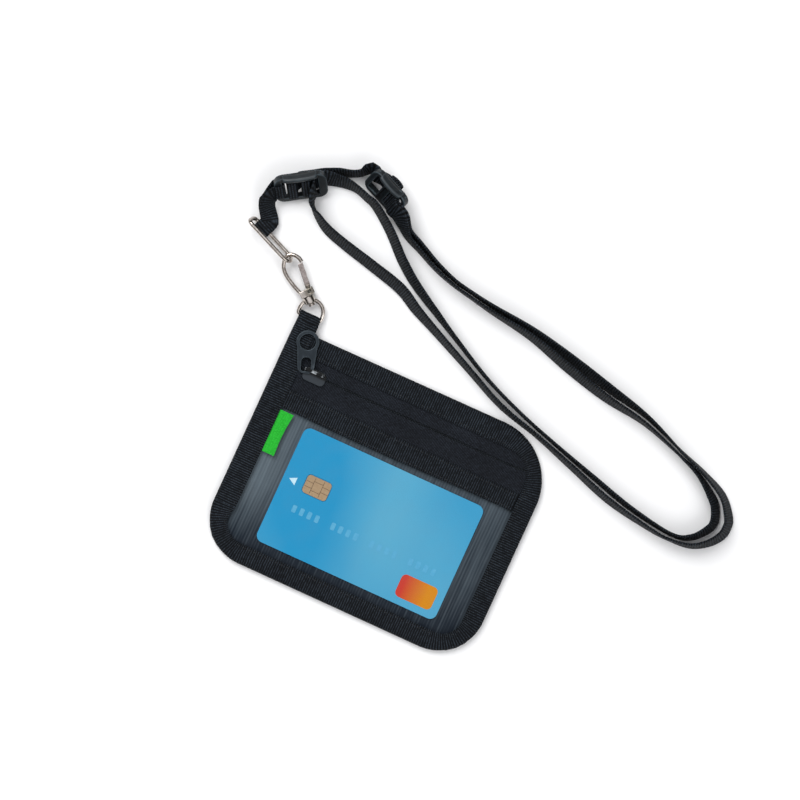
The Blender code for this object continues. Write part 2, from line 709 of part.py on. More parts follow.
half_base = HOOK_BASE_THICKNESS / 2
base_end = HOOK_BASE_START + HOOK_BASE_LENGTH
base = box(HOOK_BASE_START, base_end, -HOOK_BASE_LOW, HOOK_BASE_HIGH, -half_base, half_base)
hook_body = add_object("hook_body", base, nickel, hook_place)
bend = [(HOOK_LENGTH * x, HOOK_LENGTH * y, 0) for x, y in HOOK_BEND_SHARES]
bend_line = [Vector(p) for p in smooth_line(bend, HOOK_WIRE * 2 / 3)]
reshape(hook_body, "hook_wire", wire(bend_line, HOOK_WIRE), "UNION", hook_place)
pivot_x = HOOK_BASE_START + GATE_PIVOT_ALONG
fork = box(
    pivot_x - GATE_ROOT - FIT, base_end + OVERRUN, -HOOK_FORK_FLOOR, HOOK_BASE_HIGH + OVERRUN,
    -HOOK_FORK / 2, HOOK_FORK / 2,
)
reshape(hook_body, "hook_fork", fork, "DIFFERENCE", hook_place)
pivot_bore = rod(
    (pivot_x, GATE_PIVOT_UP, -half_base - OVERRUN), (pivot_x, GATE_PIVOT_UP, half_base + OVERRUN),
    GATE_PIN_DIAMETER / 2 + FIT,
)
reshape(hook_body, "hook_pivot_bore", pivot_bore, "DIFFERENCE", hook_place)

gate_place = hook_place @ Matrix.Translation((pivot_x, GATE_PIVOT_UP, 0))
add_object(
    "gate_pin", rod((0, 0, -half_base), (0, 0, half_base), GATE_PIN_DIAMETER / 2), spring_steel, gate_place
)
root_low = FIT - HOOK_FORK / 2
root_high = root_low + GATE_ROOT_THICKNESS
hook_gate = add_object(
    "hook_gate", rod((0, 0, root_low), (0, 0, root_high), GATE_ROOT), nickel, gate_place
)
lever_start = base_end + FIT - pivot_x
gate_reach = bend[-1][0] - FIT - pivot_x
gate_rise = GATE_TIP_UP - GATE_PIVOT_UP
half_gate = GATE_WIDTH / 2
neck = box(0, lever_start + half_gate, -GATE_ROOT / 2, GATE_ROOT * 3 / 4, root_low, root_high)
reshape(hook_gate, "hook_gate_neck", neck, "UNION", gate_place)
lever_outline = [
    (lever_start, -half_gate), (gate_reach, gate_rise - half_gate),
    (gate_reach, gate_rise + half_gate), (lever_start, half_gate),
]
lever = prism(lever_outline, -GATE_THICKNESS / 2, GATE_THICKNESS / 2)
reshape(hook_gate, "hook_gate_lever", lever, "UNION", gate_place)
gate_bore = rod(
    (0, 0, root_low - OVERRUN), (0, 0, root_high + OVERRUN), GATE_PIN_DIAMETER / 2 + FIT
)
reshape(hook_gate, "hook_gate_bore", gate_bore, "DIFFERENCE", gate_place)

spring_radius = GATE_PIN_DIAMETER / 2 + FIT + SPRING_WIRE / 2
spring_low = root_high + FIT + SPRING_WIRE / 2
spring_steps = TURN_STEPS * SPRING_TURNS
spring_line = [
    Vector((
        spring_radius * math.cos(math.tau * i / TURN_STEPS),
        spring_radius * math.sin(math.tau * i / TURN_STEPS),
        spring_low + SPRING_PITCH * i / TURN_STEPS,
    ))
    for i in range(spring_steps + 1)
]
add_object("gate_spring", wire(spring_line, SPRING_WIRE), spring_steel, gate_place)

# Lanyard ring: a round end in the hook and squarer corners at the webbing

half_long = (RING_LENGTH - RING_WIRE) / 2
half_short = (RING_WIDTH - RING_WIRE) / 2
ring_low = RING_WIRE / 2 + FIT + END_LOOP_THICKNESS + RING_LIFT
ring_place = (
    Matrix.Translation((*RING_CENTRE, ring_low + half_short * math.sin(RING_LEAN)))
    @ Matrix.Rotation(RING_DIRECTION, 4, "Z")
    @ Matrix.Rotation(RING_LEAN, 4, "X")
)
end_radius = half_short * RING_END_SHARE
ring_radii = (end_radius, RING_CORNER, RING_CORNER, end_radius)
ring_outline = rounded(-half_long, half_long, -half_short, half_short, ring_radii)
ring_line = [Vector((x, y, 0)) for x, y in ring_outline]
add_object("lanyard_ring", wire(ring_line, RING_WIRE, closed=True), nickel, ring_place)

# Buckles


def buckle(name, place, bars, slots):
    """A flat frame from its bars and slots, read from left to right. Gives the middle of each bar."""
    length = sum(bars) + sum(slots)
    half_width = BUCKLE_WIDTH / 2
    outline = rounded(-length / 2, length / 2, -half_width, half_width, (BUCKLE_CORNER,) * 4)
    half = BUCKLE_THICKNESS / 2
    frame = add_object(name, prism(outline, -half, half), buckle_plastic, place)
    x = -length / 2
    middles = []
    for number, (bar, slot_length) in enumerate(zip(bars, slots)):
        middles.append(x + bar / 2)
        x += bar
        outline = rounded(x, x + slot_length, -SLOT_WIDTH / 2, SLOT_WIDTH / 2, (SLOT_CORNER,) * 4)
        cutter = prism(outline, -half - OVERRUN, half + OVERRUN)
        reshape(frame, f"{name}_slot_{number + 1}", cutter, "DIFFERENCE", place)
        x += slot_length
    middles.append(x + bars[-1] / 2)
    return middles


def place_buckle(centre, direction, lean):
    """X along the buckle, Y across it toward the raised rail, Z out of its front."""
    return (
        Matrix.Translation(centre) @ Matrix.Rotation(direction, 4, "Z") @ Matrix.Rotation(lean, 4, "X")
    )


joiner_place = place_buckle(JOINER_CENTRE, JOINER_DIRECTION, JOINER_LEAN)
slide_place = place_buckle(SLIDE_CENTRE, SLIDE_DIRECTION, SLIDE_LEAN)
end_bar, first_bar, second_bar, right_bar = buckle(
    "joiner_buckle", joiner_place,
    (JOINER_LEFT_BAR, JOINER_BAR, JOINER_BAR, JOINER_RIGHT_BAR),
    (JOINER_FIRST_SLOT, JOINER_SLOT, JOINER_SLOT),
)
slide_left, slide_middle, slide_right = buckle(
    "slide_buckle", slide_place, (SLIDE_END_BAR, SLIDE_BAR, SLIDE_END_BAR), (SLIDE_SLOT,) * 2
)

# Webbing

half_strap = STRAP_THICKNESS / 2
near_layer = BUCKLE_THICKNESS / 2 + FIT + half_strap
far_layer = near_layer + STRAP_THICKNESS + FIT


def in_buckle(place, points):
    """Points along and out of a buckle as places in the part, with the webbing's width across it."""
    across = place.to_3x3() @ Vector((0, 1, 0))
    return [(*(place @ Vector((x, 0, z))), *across) for x, z in points]


def wrap(middle, half_bar, turn, thickness=STRAP_THICKNESS):
    """Points round a bar from one angle to another."""
    start, end = turn
    reach = half_bar + FIT + thickness / 2
    depth = BUCKLE_THICKNESS / 2 + FIT + thickness / 2
    pieces = round(abs(end - start) / WRAP_STEP)
    points = []
    for i in range(pieces + 1):
        angle = math.radians(start + (end - start) * i / pieces)
        c, s = math.cos(angle), math.sin(angle)
        points.append((
            middle + reach * math.copysign(abs(c) ** 0.5, c), depth * math.copysign(abs(s) ** 0.5, s)
        ))
    return points


def on_table(route):
    """A route's points with the webbing's lower edge on the table."""
    points = []
    for x, y, turned in route:
        angle = math.radians(turned)
        z = STRAP_ABOVE_TABLE + STRAP_WIDTH / 2 * math.sin(angle) + half_strap * abs(math.cos(angle))
        points.append((x, y, z, turned))
    return points


def stand(points):
    """Fills in each route point's width direction from the way the line runs past it."""
    filled = []
    for i, point in enumerate(points):
        if len(point) == 6:
            filled.append(point)
            continue
        x, y, z, turned = point
        before, after = points[max(i - 1, 0)], points[min(i + 1, len(points) - 1)]
        ahead = Vector((after[0] - before[0], after[1] - before[1], 0)).normalized()
        to_left = Vector((-ahead.y, ahead.x, 0))
        angle = math.radians(turned)
        across = to_left * math.cos(angle) + Vector((0, 0, math.sin(angle)))
        filled.append((x, y, z, *across))
    return filled


def strap(name, points, width, thickness, closed=False):
    """A flat tape through places and width directions."""
    line = smooth_line(stand(points), STRAP_STEP)
    if closed:
        line.pop()
    centres = [Vector(p[:3]) for p in line]
    across = [Vector(p[3:]) for p in line]
    return add_object(name, sweep(centres, across, tape_section(width, thickness), closed), webbing)


# The outer run leaves the joiner's last slot and comes back to the slide, then round the joiner's first bar
start_x = second_bar + JOINER_BAR / 2 + JOINER_SLOT / 2 + half_strap / 2
outer_start = in_buckle(joiner_place, [(start_x, -half_strap), (start_x, half_strap), (start_x, near_layer)])
past_right = slide_right + SLIDE_END_BAR / 2 + PAST_FRAME
past_left = slide_left - SLIDE_END_BAR / 2 - PAST_FRAME
middle_slot = SLIDE_BAR / 2 + SLIDE_SLOT / 2
turn_down = slide_right - SLIDE_END_BAR / 2 - half_strap
turn_up = slide_left + SLIDE_END_BAR / 2 + half_strap
outer_slide = in_buckle(slide_place, [
    (past_right, near_layer), (slide_right, near_layer), (turn_down, near_layer),
    (middle_slot + STRAP_THICKNESS, half_strap), (middle_slot, -near_layer * 2 / 3),
    (middle_slot - 2 * STRAP_THICKNESS + FIT, -near_layer - STRAP_THICKNESS),
    (slide_middle, -far_layer), (-middle_slot, -far_layer), (turn_up, -near_layer),
    (slide_left, -near_layer), (past_left, -near_layer),
])
joiner_past = right_bar + JOINER_RIGHT_BAR / 2
back_edge = first_bar + JOINER_BAR / 2 + FIT + half_strap
outer_end = in_buckle(joiner_place, [
    (joiner_past, -far_layer), (second_bar + JOINER_SLOT / 2, -far_layer),
    (back_edge + STRAP_THICKNESS * 2, -far_layer), (back_edge + half_strap, -near_layer),
] + wrap(first_bar, JOINER_BAR / 2, OUTER_WRAP))
outer_points = (
    outer_start + list(OUTER_LEAD) + on_table(OUTER_ROUTE) + outer_slide
    + on_table(TOP_ROUTE) + outer_end
)
strap("strap_outer_run", outer_points, STRAP_WIDTH, STRAP_THICKNESS)

# The inner run starts round the joiner's second bar and ends round the slide's middle bar
inner_start = in_buckle(
    joiner_place,
    wrap(second_bar, JOINER_BAR / 2, INNER_WRAP)
    + [(right_bar - JOINER_RIGHT_BAR / 2, -near_layer), (joiner_past, -near_layer)],
)
inner_slide = in_buckle(slide_place, [
    (past_right, far_layer), (slide_right, far_layer), (turn_down - half_strap, far_layer),
    (middle_slot, near_layer * 2 / 3),
] + wrap(slide_middle, SLIDE_BAR / 2, SLIDE_WRAP))
inner_points = inner_start + on_table(INNER_ROUTE) + inner_slide
strap("strap_inner_run", inner_points, STRAP_WIDTH, STRAP_THICKNESS)

fold_high = -far_layer - half_strap - FIT
add_object(
    "strap_end_fold",
    box(
        -END_FOLD_LENGTH / 2, END_FOLD_LENGTH / 2, -STRAP_WIDTH / 2, STRAP_WIDTH / 2,
        fold_high - END_FOLD_THICKNESS, fold_high,
    ),
    webbing, slide_place,
)

# A closed loop of lighter tape ties the ring to the joiner's first bar
loop_wire = ring_place @ Vector((END_LOOP_FROM_CENTRE, -half_short, 0))
wire_along = ring_place.to_3x3() @ Vector((1, 0, 0))
onward = Vector((wire_along.y, -wire_along.x, 0))
loop_radius = RING_WIRE / 2 + FIT + END_LOOP_THICKNESS / 2


def round_ring():
    """The loop's places and width directions round the ring's low wire."""
    start, end = RING_WRAP
    points = []
    for i in range(ROUND_STEPS + 1):
        angle = math.radians(start + (end - start) * i / ROUND_STEPS)
        place = loop_wire + loop_radius * (onward * math.cos(angle) + Vector((0, 0, math.sin(angle))))
        points.append((*place, *wire_along))
    return points


def layer(offset):
    """The loop's route moved off its middle, out of the tape's face."""
    bar = in_buckle(joiner_place, [(end_bar, 0)])
    filled = stand([(*loop_wire, *wire_along)] + list(END_LOOP_ROUTE) + bar)
    moved = []
    for i, point in enumerate(filled[1:-1], 1):
        ahead = (Vector(filled[i + 1][:3]) - Vector(filled[i - 1][:3])).normalized()
        out = ahead.cross(Vector(point[3:])).normalized()
        moved.append((*(Vector(point[:3]) + out * offset), *point[3:]))
    return moved


loop_points = (
    layer(END_LOOP_SPREAD)
    + in_buckle(joiner_place, wrap(end_bar, JOINER_LEFT_BAR / 2, END_LOOP_WRAP, END_LOOP_THICKNESS))
    + layer(-END_LOOP_SPREAD)[::-1]
    + round_ring()
)
strap("strap_end_loop", loop_points + loop_points[:1], END_LOOP_WIDTH, END_LOOP_THICKNESS, closed=True)
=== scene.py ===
"""The looks of a neck wallet: a card pouch with a clear window, its zip, snap hook and webbing lanyard."""

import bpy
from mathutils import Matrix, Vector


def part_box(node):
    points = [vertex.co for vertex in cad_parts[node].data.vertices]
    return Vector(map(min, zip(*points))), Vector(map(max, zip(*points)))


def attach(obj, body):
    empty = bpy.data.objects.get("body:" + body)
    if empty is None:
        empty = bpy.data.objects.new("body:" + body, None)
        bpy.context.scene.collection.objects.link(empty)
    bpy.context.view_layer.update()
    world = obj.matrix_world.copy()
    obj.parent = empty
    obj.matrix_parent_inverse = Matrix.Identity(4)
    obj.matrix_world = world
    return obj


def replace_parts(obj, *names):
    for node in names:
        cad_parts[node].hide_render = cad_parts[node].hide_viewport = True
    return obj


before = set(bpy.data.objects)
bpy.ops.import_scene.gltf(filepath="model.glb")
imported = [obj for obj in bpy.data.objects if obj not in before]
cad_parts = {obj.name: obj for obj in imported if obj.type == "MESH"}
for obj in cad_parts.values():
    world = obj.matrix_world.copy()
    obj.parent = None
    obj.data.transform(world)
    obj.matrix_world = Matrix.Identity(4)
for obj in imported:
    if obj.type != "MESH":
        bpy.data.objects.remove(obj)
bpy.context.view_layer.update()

import math

import bmesh
import bpy
from mathutils import Matrix, Vector, noise

# Camera, floor and light
# The photograph looks straight down, turned 24.6 degrees, at 2.3 pixels a millimetre. The floor is plain
# and pale, and the sky is a soft bright ceiling over a dimmer, warmer band that the metal mirrors.

CAMERA_PLACE = (-0.00871, 0.0418, 1.6)
CAMERA_TURN = 24.6
HALF_PICTURE = 0.17391
FLOOR_HALF = 3.0
FLOOR_BELOW = 0.0002


def linear(colour):
    """An sRGB hex colour as the shader's linear values."""
    parts = [int(colour[i : i + 2], 16) / 255 for i in (0, 2, 4)]
    return (*[c / 12.92 if c <= 0.04045 else ((c + 0.055) / 1.055) ** 2.4 for c in parts], 1.0)


def node(tree, kind, inputs=(), output=0, to=None, **settings):
    """Adds a shader node with its settings and its inputs, as values, hex colours or links.

    One of its outputs is given back, and linked on to another node's input where that is named.
    """
    made = tree.nodes.new("ShaderNode" + kind)
    for key, value in settings.items():
        setattr(made, key, value)
    for key, value in inputs.items() if isinstance(inputs, dict) else enumerate(inputs):
        if isinstance(value, bpy.types.NodeSocket):
            tree.links.new(value, made.inputs[key])
        else:
            made.inputs[key].default_value = linear(value) if isinstance(value, str) else value
    if to is not None:
        tree.links.new(made.outputs[output], to)
    return made.outputs[output]


def material(name, **values):
    """A material, its node tree, its Principled shader with plain values on it, and its object coordinates."""
    made = bpy.data.materials.new(name)
    made.use_nodes = True
    tree = made.node_tree
    shader = tree.nodes["Principled BSDF"]
    for key, value in values.items():
        shader.inputs[key.replace("_", " ")].default_value = value
    return made, tree, shader.inputs, node(tree, "TexCoord", output="Object")


def speckled(name, first, second, scale, **values):
    """A material of two close tones in grains, so many of them to a metre."""
    made, tree, surface, where = material(name, **values)
    grains = node(tree, "TexNoise", {"Vector": where, "Scale": scale, "Detail": 3.0})
    node(tree, "Mix", {0: grains, 6: first, 7: second}, 2, surface["Base Color"], data_type="RGBA")
    return made


camera_data = bpy.data.cameras.new("camera")
camera_data.angle = 2 * math.atan(HALF_PICTURE / CAMERA_PLACE[2])
camera_data.clip_start = 0.01
camera = bpy.data.objects.new("camera", camera_data)
camera.location = CAMERA_PLACE
camera.rotation_euler = (0, 0, math.radians(CAMERA_TURN))
bpy.context.scene.collection.objects.link(camera)
bpy.context.scene.camera = camera
bpy.context.scene.view_settings.view_transform = "Standard"

# White backdrop paper, so faintly clouded that it reads as one pale tone.
paper = speckled("backdrop_paper", "F6F6F6", "FBFBFB", 3.0, Roughness=0.9)
bm = bmesh.new()
bmesh.ops.create_grid(bm, x_segments=4, y_segments=4, size=FLOOR_HALF)
floor_mesh = bpy.data.meshes.new("floor")
bm.to_mesh(floor_mesh)
bm.free()
floor_mesh.materials.append(paper)
floor = bpy.data.objects.new("floor", floor_mesh)
floor.location = (0, 0, -FLOOR_BELOW)
bpy.context.scene.collection.objects.link(floor)

world = bpy.data.worlds.new("studio")
world.use_nodes = True
sky = world.node_tree
toward = node(sky, "SeparateXYZ", [node(sky, "TexCoord", output="Generated")], "Z")
background = sky.nodes["Background"]
background.inputs["Strength"].default_value = 0.95
ramp = node(sky, "ValToRGB", [toward], to=background.inputs["Color"]).node.color_ramp
ramp.elements[0].color = (0.3, 0.29, 0.28, 1)
ramp.elements[1].color = (0.95, 0.96, 1.0, 1)
ramp.elements[1].position = 0.9
for height, colour in (
    (0.1, (0.05, 0.047, 0.044, 1)), (0.6, (0.07, 0.068, 0.066, 1)), (0.75, (0.55, 0.55, 0.56, 1)),
):
    ramp.elements.new(height).color = colour
bpy.context.scene.world = world

for name, place, size, energy in (
    ("key_light", (-0.9, 0.7, 1.5), 1.2, 26.0),
    ("fill_light", (1.1, -0.7, 1.3), 1.5, 13.0),
):
    lamp = bpy.data.lights.new(name, "AREA")
    lamp.size = size
    lamp.energy = energy
    made = bpy.data.objects.new(name, lamp)
    made.location = place
    made.rotation_euler = (-Vector(place)).to_track_quat("-Z", "Y").to_euler()
    bpy.context.scene.collection.objects.link(made)

# Lanyard webbing
# Flat polypropylene webbing, about 10 mm wide, standing on its edge along the table. The outer run starts in
# the joiner, goes round the far end and the slide, and is sewn back to the joiner. The inner run lies in it.

MM = 0.001
STRAP_WIDTH = 0.01
STRAP_THICKNESS = 0.0011
STRAP_ABOVE_TABLE = 0.0005
STRAP_STEP = 0.0015
FIT = 0.0003
WRAP_STEP = 15
SHARP_FROM = 40

# Each route point is a place, and the turn of the webbing's width there in degrees from lying flat.
OUTER_LEAD = (
    (-0.0793, 0.1077, 0.0095, 112), (-0.0790, 0.1052, 0.0086, 102), (-0.0778, 0.1027, 0.0070, 90),
    (-0.0754, 0.1003, 0.0058, 80),
)
OUTER_ROUTE = (
    (-0.0685, 0.0961, 70), (-0.0586, 0.0931, 68), (-0.0436, 0.0896, 66), (-0.0286, 0.0857, 65),
    (-0.0186, 0.0804, 68), (-0.0083, 0.0757, 74), (0.0121, 0.0665, 79), (0.0321, 0.0576, 81),
    (0.0520, 0.0522, 84), (0.0718, 0.0460, 80), (0.0918, 0.0397, 78), (0.1118, 0.0361, 84),
    (0.1218, 0.0353, 87), (0.1318, 0.0366, 80), (0.1386, 0.0409, 72), (0.1425, 0.0463, 66),
    (0.1431, 0.0503, 65), (0.1421, 0.0545, 66), (0.1358, 0.0621, 72), (0.1248, 0.0676, 80),
    (0.1118, 0.0722, 86), (0.0918, 0.0797, 96), (0.0718, 0.0841, 108), (0.0518, 0.0887, 110),
    (0.0318, 0.0929, 104), (0.0118, 0.0953, 96), (0.0018, 0.0968, 93), (-0.0083, 0.0987, 93),
    (-0.0183, 0.1022, 95), (-0.0283, 0.1069, 97), (-0.0363, 0.1106, 101),
)
TOP_ROUTE = (
    (-0.0633, 0.1263, 108), (-0.0647, 0.1244, 103), (-0.0671, 0.1229, 102), (-0.0700, 0.1217, 104),
    (-0.0733, 0.1206, 108),
)
INNER_ROUTE = (
    (-0.0733, 0.1170, 62), (-0.0683, 0.1176, 68), (-0.0633, 0.1171, 76), (-0.0583, 0.1156, 76),
    (-0.0530, 0.1137, 73), (-0.0430, 0.1065, 70), (-0.0329, 0.0972, 69), (-0.0229, 0.0899, 71),
    (-0.0080, 0.0815, 79), (0.0020, 0.0761, 84), (0.0218, 0.0659, 87), (0.0418, 0.0581, 88),
    (0.0618, 0.0519, 87), (0.0818, 0.0461, 83), (0.1018, 0.0407, 82), (0.1218, 0.0378, 85),
    (0.1306, 0.0401, 76), (0.1361, 0.0463, 68), (0.1371, 0.0503, 66), (0.1359, 0.0543, 66),
    (0.1327, 0.0588, 68), (0.1228, 0.0659, 80), (0.1118, 0.0703, 87), (0.0918, 0.0767, 96),
    (0.0718, 0.0798, 106), (0.0518, 0.0847, 109), (0.0318, 0.0902, 103), (0.0118, 0.0930, 95),
    (0.0018, 0.0947, 92), (-0.0083, 0.0967, 92), (-0.0183, 0.0998, 94), (-0.0283, 0.1044, 97),
    (-0.0352, 0.1076, 102),
)

BUCKLE_THICKNESS = 0.003
PAST_FRAME = 0.0011
JOINER_BARS = (0.0035, 0.002, 0.002, 0.0037)
JOINER_SLOTS = (0.0031, 0.0043, 0.0043)
SLIDE_BARS = (0.0024, 0.0025, 0.0024)
SLIDE_SLOTS = (0.0064, 0.0064)


def place_buckle(centre, direction, lean):
    """X along the buckle, Y across it toward the raised rail, Z out of its front."""
    return (
        Matrix.Translation(centre)
        @ Matrix.Rotation(math.radians(direction), 4, "Z")
        @ Matrix.Rotation(math.radians(lean), 4, "X")
    )


def bar_middles(bars, slots):
    """Where each bar's middle lies along a buckle."""
    x = -(sum(bars) + sum(slots)) / 2
    found = []
    for bar, slot in zip(bars, (*slots, 0)):
        found.append(x + bar / 2)
        x += bar + slot
    return found


joiner_place = place_buckle((-0.0863, 0.1082, 0.0074), 32.5, 53)
slide_place = place_buckle((-0.0515, 0.1213, 0.0077), -23, 57)
end_bar, first_bar, second_bar, right_bar = bar_middles(JOINER_BARS, JOINER_SLOTS)
slide_left, slide_middle, slide_right = bar_middles(SLIDE_BARS, SLIDE_SLOTS)
half_strap = STRAP_THICKNESS / 2
near_layer = BUCKLE_THICKNESS / 2 + FIT + half_strap
far_layer = near_layer + STRAP_THICKNESS + FIT


def in_buckle(place, points):
    """Points along and out of a buckle as places in the part, with the webbing's width across it."""
    across = place.to_3x3() @ Vector((0, 1, 0))
    return [(*(place @ Vector((x, 0, z))), *across) for x, z in points]


def wrap(middle, half_bar, start, end, thickness=STRAP_THICKNESS):
    """Points round a bar, in degrees from the buckle's length to its front."""
    reach = half_bar + FIT + thickness / 2
    depth = BUCKLE_THICKNESS / 2 + FIT + thickness / 2
    pieces = round(abs(end - start) / WRAP_STEP)
    points = []
    for i in range(pieces + 1):
        angle = math.radians(start + (end - start) * i / pieces)
        c, s = math.cos(angle), math.sin(angle)
        points.append((
            middle + reach * math.copysign(abs(c) ** 0.5, c), depth * math.copysign(abs(s) ** 0.5, s)
        ))
    return points


def on_table(route):
    """A route's points with the webbing's lower edge on the table."""
    points = []
    for x, y, turned in route:
        angle = math.radians(turned)
        z = STRAP_ABOVE_TABLE + STRAP_WIDTH / 2 * math.sin(angle) + half_strap * abs(math.cos(angle))
        points.append((x, y, z, turned))
    return points


def stand(points):
    """Fills in each route point's width direction from the way the line runs past it."""
    filled = []
    for i, point in enumerate(points):
        if len(point) == 6:
            filled.append(point)
            continue
        x, y, z, turned = point
        before, after = points[max(i - 1, 0)], points[min(i + 1, len(points) - 1)]
        ahead = Vector((after[0] - before[0], after[1] - before[1], 0)).normalized()
        to_left = Vector((-ahead.y, ahead.x, 0))
        angle = math.radians(turned)
        across = to_left * math.cos(angle) + Vector((0, 0, math.sin(angle)))
        filled.append((x, y, z, *across))
    return filled


def smooth_line(points, step):
    """Points read at about equal steps from a smooth curve through the given ones, of any dimension."""
    read = []
    for i in range(len(points) - 1):
        p0 = points[max(i - 1, 0)]
        p1, p2 = points[i], points[i + 1]
        p3 = points[min(i + 2, len(points) - 1)]
        pieces = max(1, round(math.dist(p1[:3], p2[:3]) / step))
        for k in range(pieces):
            t = k / pieces
            read.append([
                b + 0.5 * t * (c - a + t * (2 * a - 5 * b + 4 * c - d + t * (3 * (b - c) + d - a)))
                for a, b, c, d in zip(p0, p1, p2, p3)
            ])
    read.append(list(points[-1]))
    return read


def running(points):
    """The distance along a line at each of its points, in millimetres."""
    found = [0.0]
    for a, b in zip(points, points[1:]):
        found.append(found[-1] + (Vector(b) - Vector(a)).length / MM)
    return found


def skin(rows, us, vs, around=False, along=False, ends=False):
    """A bmesh over rows of points, with UVs in millimetres along and across."""
    bm = bmesh.new()
    layer = bm.loops.layers.uv.new("UVMap")
    grid = [[bm.verts.new(p) for p in row] for row in rows]
    m, n = len(rows), len(rows[0])
    for i in range(m if along else m - 1):
        for j in range(n if around else n - 1):
            here, onward = grid[i], grid[(i + 1) % m]
            beside = (j + 1) % n
            face = bm.faces.new((here[j], onward[j], onward[beside], here[beside]))
            corners = ((i, j), (i + 1, j), (i + 1, j + 1), (i, j + 1))
            for loop, (a, b) in zip(face.loops, corners):
                loop[layer].uv = (us[a], vs[b])
    if ends:
        for row, a in ((grid[0][::-1], 0), (grid[-1], m - 1)):
            for loop in bm.faces.new(row).loops:
                loop[layer].uv = (us[a], vs[0])
    return bm


def tape(points, width, thickness, closed=False, step=STRAP_STEP):
    """The skin of a flat tape with rounded selvedges along a route, and its centreline."""
    line = smooth_line(stand(points), step)
    if closed:
        line.pop()
    centres = [Vector(p[:3]) for p in line]
    w, t = width / 2, thickness / 2
    upper = [
        (-w + t * 0.3, t * 0.75), (-w + t, t), (-w * 0.5, t * 0.96), (0, t * 0.94), (w * 0.5, t * 0.96),
        (w - t, t), (w - t * 0.3, t * 0.75),
    ]
    section = [(-w, 0)] + [(x, -y) for x, y in upper] + [(w, 0)] + upper[::-1]
    last = len(centres) - 1
    rows = []
    for i, (centre, p) in enumerate(zip(centres, line)):
        before = centres[i - 1] if i or closed else centre
        after = centres[(i + 1) % (last + 1)] if i < last or closed else centre
        along = (after - before).normalized()
        wide = Vector(p[3:])
        wide = (wide - along * wide.dot(along)).normalized()
        high = along.cross(wide)
        rows.append([centre + wide * x + high * y for x, y in section])
    us = running(centres + centres[:1])
    vs = running([(x, y, 0) for x, y in section + section[:1]])
    return skin(rows, us, vs, around=True, along=closed, ends=not closed), centres


def piece(name, bm, finish, body):
    """A finished piece from a bmesh, riding on a body."""
    bmesh.ops.recalc_face_normals(bm, faces=bm.faces)
    mesh = bpy.data.meshes.new(name)
    bm.to_mesh(mesh)
    bm.free()
    mesh.shade_smooth()
    mesh.set_sharp_from_angle(angle=math.radians(SHARP_FROM))
    mesh.materials.append(finish)
    made = bpy.data.objects.new(name, mesh)
    bpy.context.scene.collection.objects.link(made)
    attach(made, body)
    return made


def woven(name, dark, light, pitch, yarn, depth, roughness):
    """Ribbed tape: ribs across it and yarns along them, so many millimetres apart, from UVs in millimetres.

    The eye gets grooves painted dark as shade, crests painted lighter as sheen and broken into staggered yarns of
    uneven tone, and a little fuzz from wear.
    """
    made, tree, surface, where = material(name, Roughness=roughness, Specular_IOR_Level=0.14)
    uv = node(tree, "UVMap", uv_map="UVMap")
    wobble = node(tree, "TexNoise", {"Vector": uv, "Scale": 0.35, "Detail": 2.0})
    parts = node(tree, "SeparateXYZ", [uv]).node.outputs
    along = node(tree, "Math", (wobble, 0.5, parts[0]), operation="MULTIPLY_ADD")
    along = node(tree, "Math", (along, pitch), operation="DIVIDE")
    across = node(tree, "Math", (parts[1], yarn), operation="DIVIDE")
    row = node(tree, "Math", [along], operation="FLOOR")
    odd = node(tree, "Math", (row, 2.0), operation="MODULO")
    across = node(tree, "Math", (odd, 0.5, across), operation="MULTIPLY_ADD")
    rib = node(tree, "Math", (along, 0.5), operation="PINGPONG")
    turn = node(tree, "Math", (across, 0.5), operation="PINGPONG")
    crest = node(tree, "MapRange", (rib, 0.125, 0.425))
    bulge = node(tree, "MapRange", (turn, 0.0, 0.4, 0.5, 1.0))
    height = node(tree, "Math", (crest, bulge), operation="MULTIPLY")
    cell = node(tree, "CombineXYZ", (row, node(tree, "Math", [across], operation="FLOOR")))
    chance = node(tree, "TexWhiteNoise", {"Vector": cell}, noise_dimensions="2D")
    fuzz = node(tree, "TexNoise", {"Vector": where, "Scale": 1500.0, "Detail": 4.0})
    wear = node(tree, "TexNoise", {"Vector": where, "Scale": 70.0, "Detail": 3.0})
    share = height
    for source, low, high, least, most in (
        (fuzz, 0.3, 0.7, 0.6, 1.3), (wear, 0.35, 0.7, 0.75, 1.15), (chance, 0.0, 1.0, 0.6, 1.45),
    ):
        part = node(tree, "MapRange", (source, low, high, least, most))
        share = node(tree, "Math", (share, part), operation="MULTIPLY")
    # Painted shade and sheen: darker in the rib grooves, lighter on the crests, with random yarn tone, wear and
    # fuzz on top.
    node(tree, "Mix", {0: share, 6: dark, 7: light}, 2, surface["Base Color"], data_type="RGBA")
    raised = node(tree, "Math", (fuzz, 0.2, height), operation="MULTIPLY_ADD")
    node(tree, "Bump", {"Height": raised, "Distance": depth}, to=surface["Normal"])
    return made


# Polypropylene webbing: satin black yarns in ribs, with a grey painted sheen on the crests and painted shade in the
# grooves.
webbing = woven("black_webbing", "040506", "30373F", pitch=1.15, yarn=1.3, depth=0.0003, roughness=0.7)

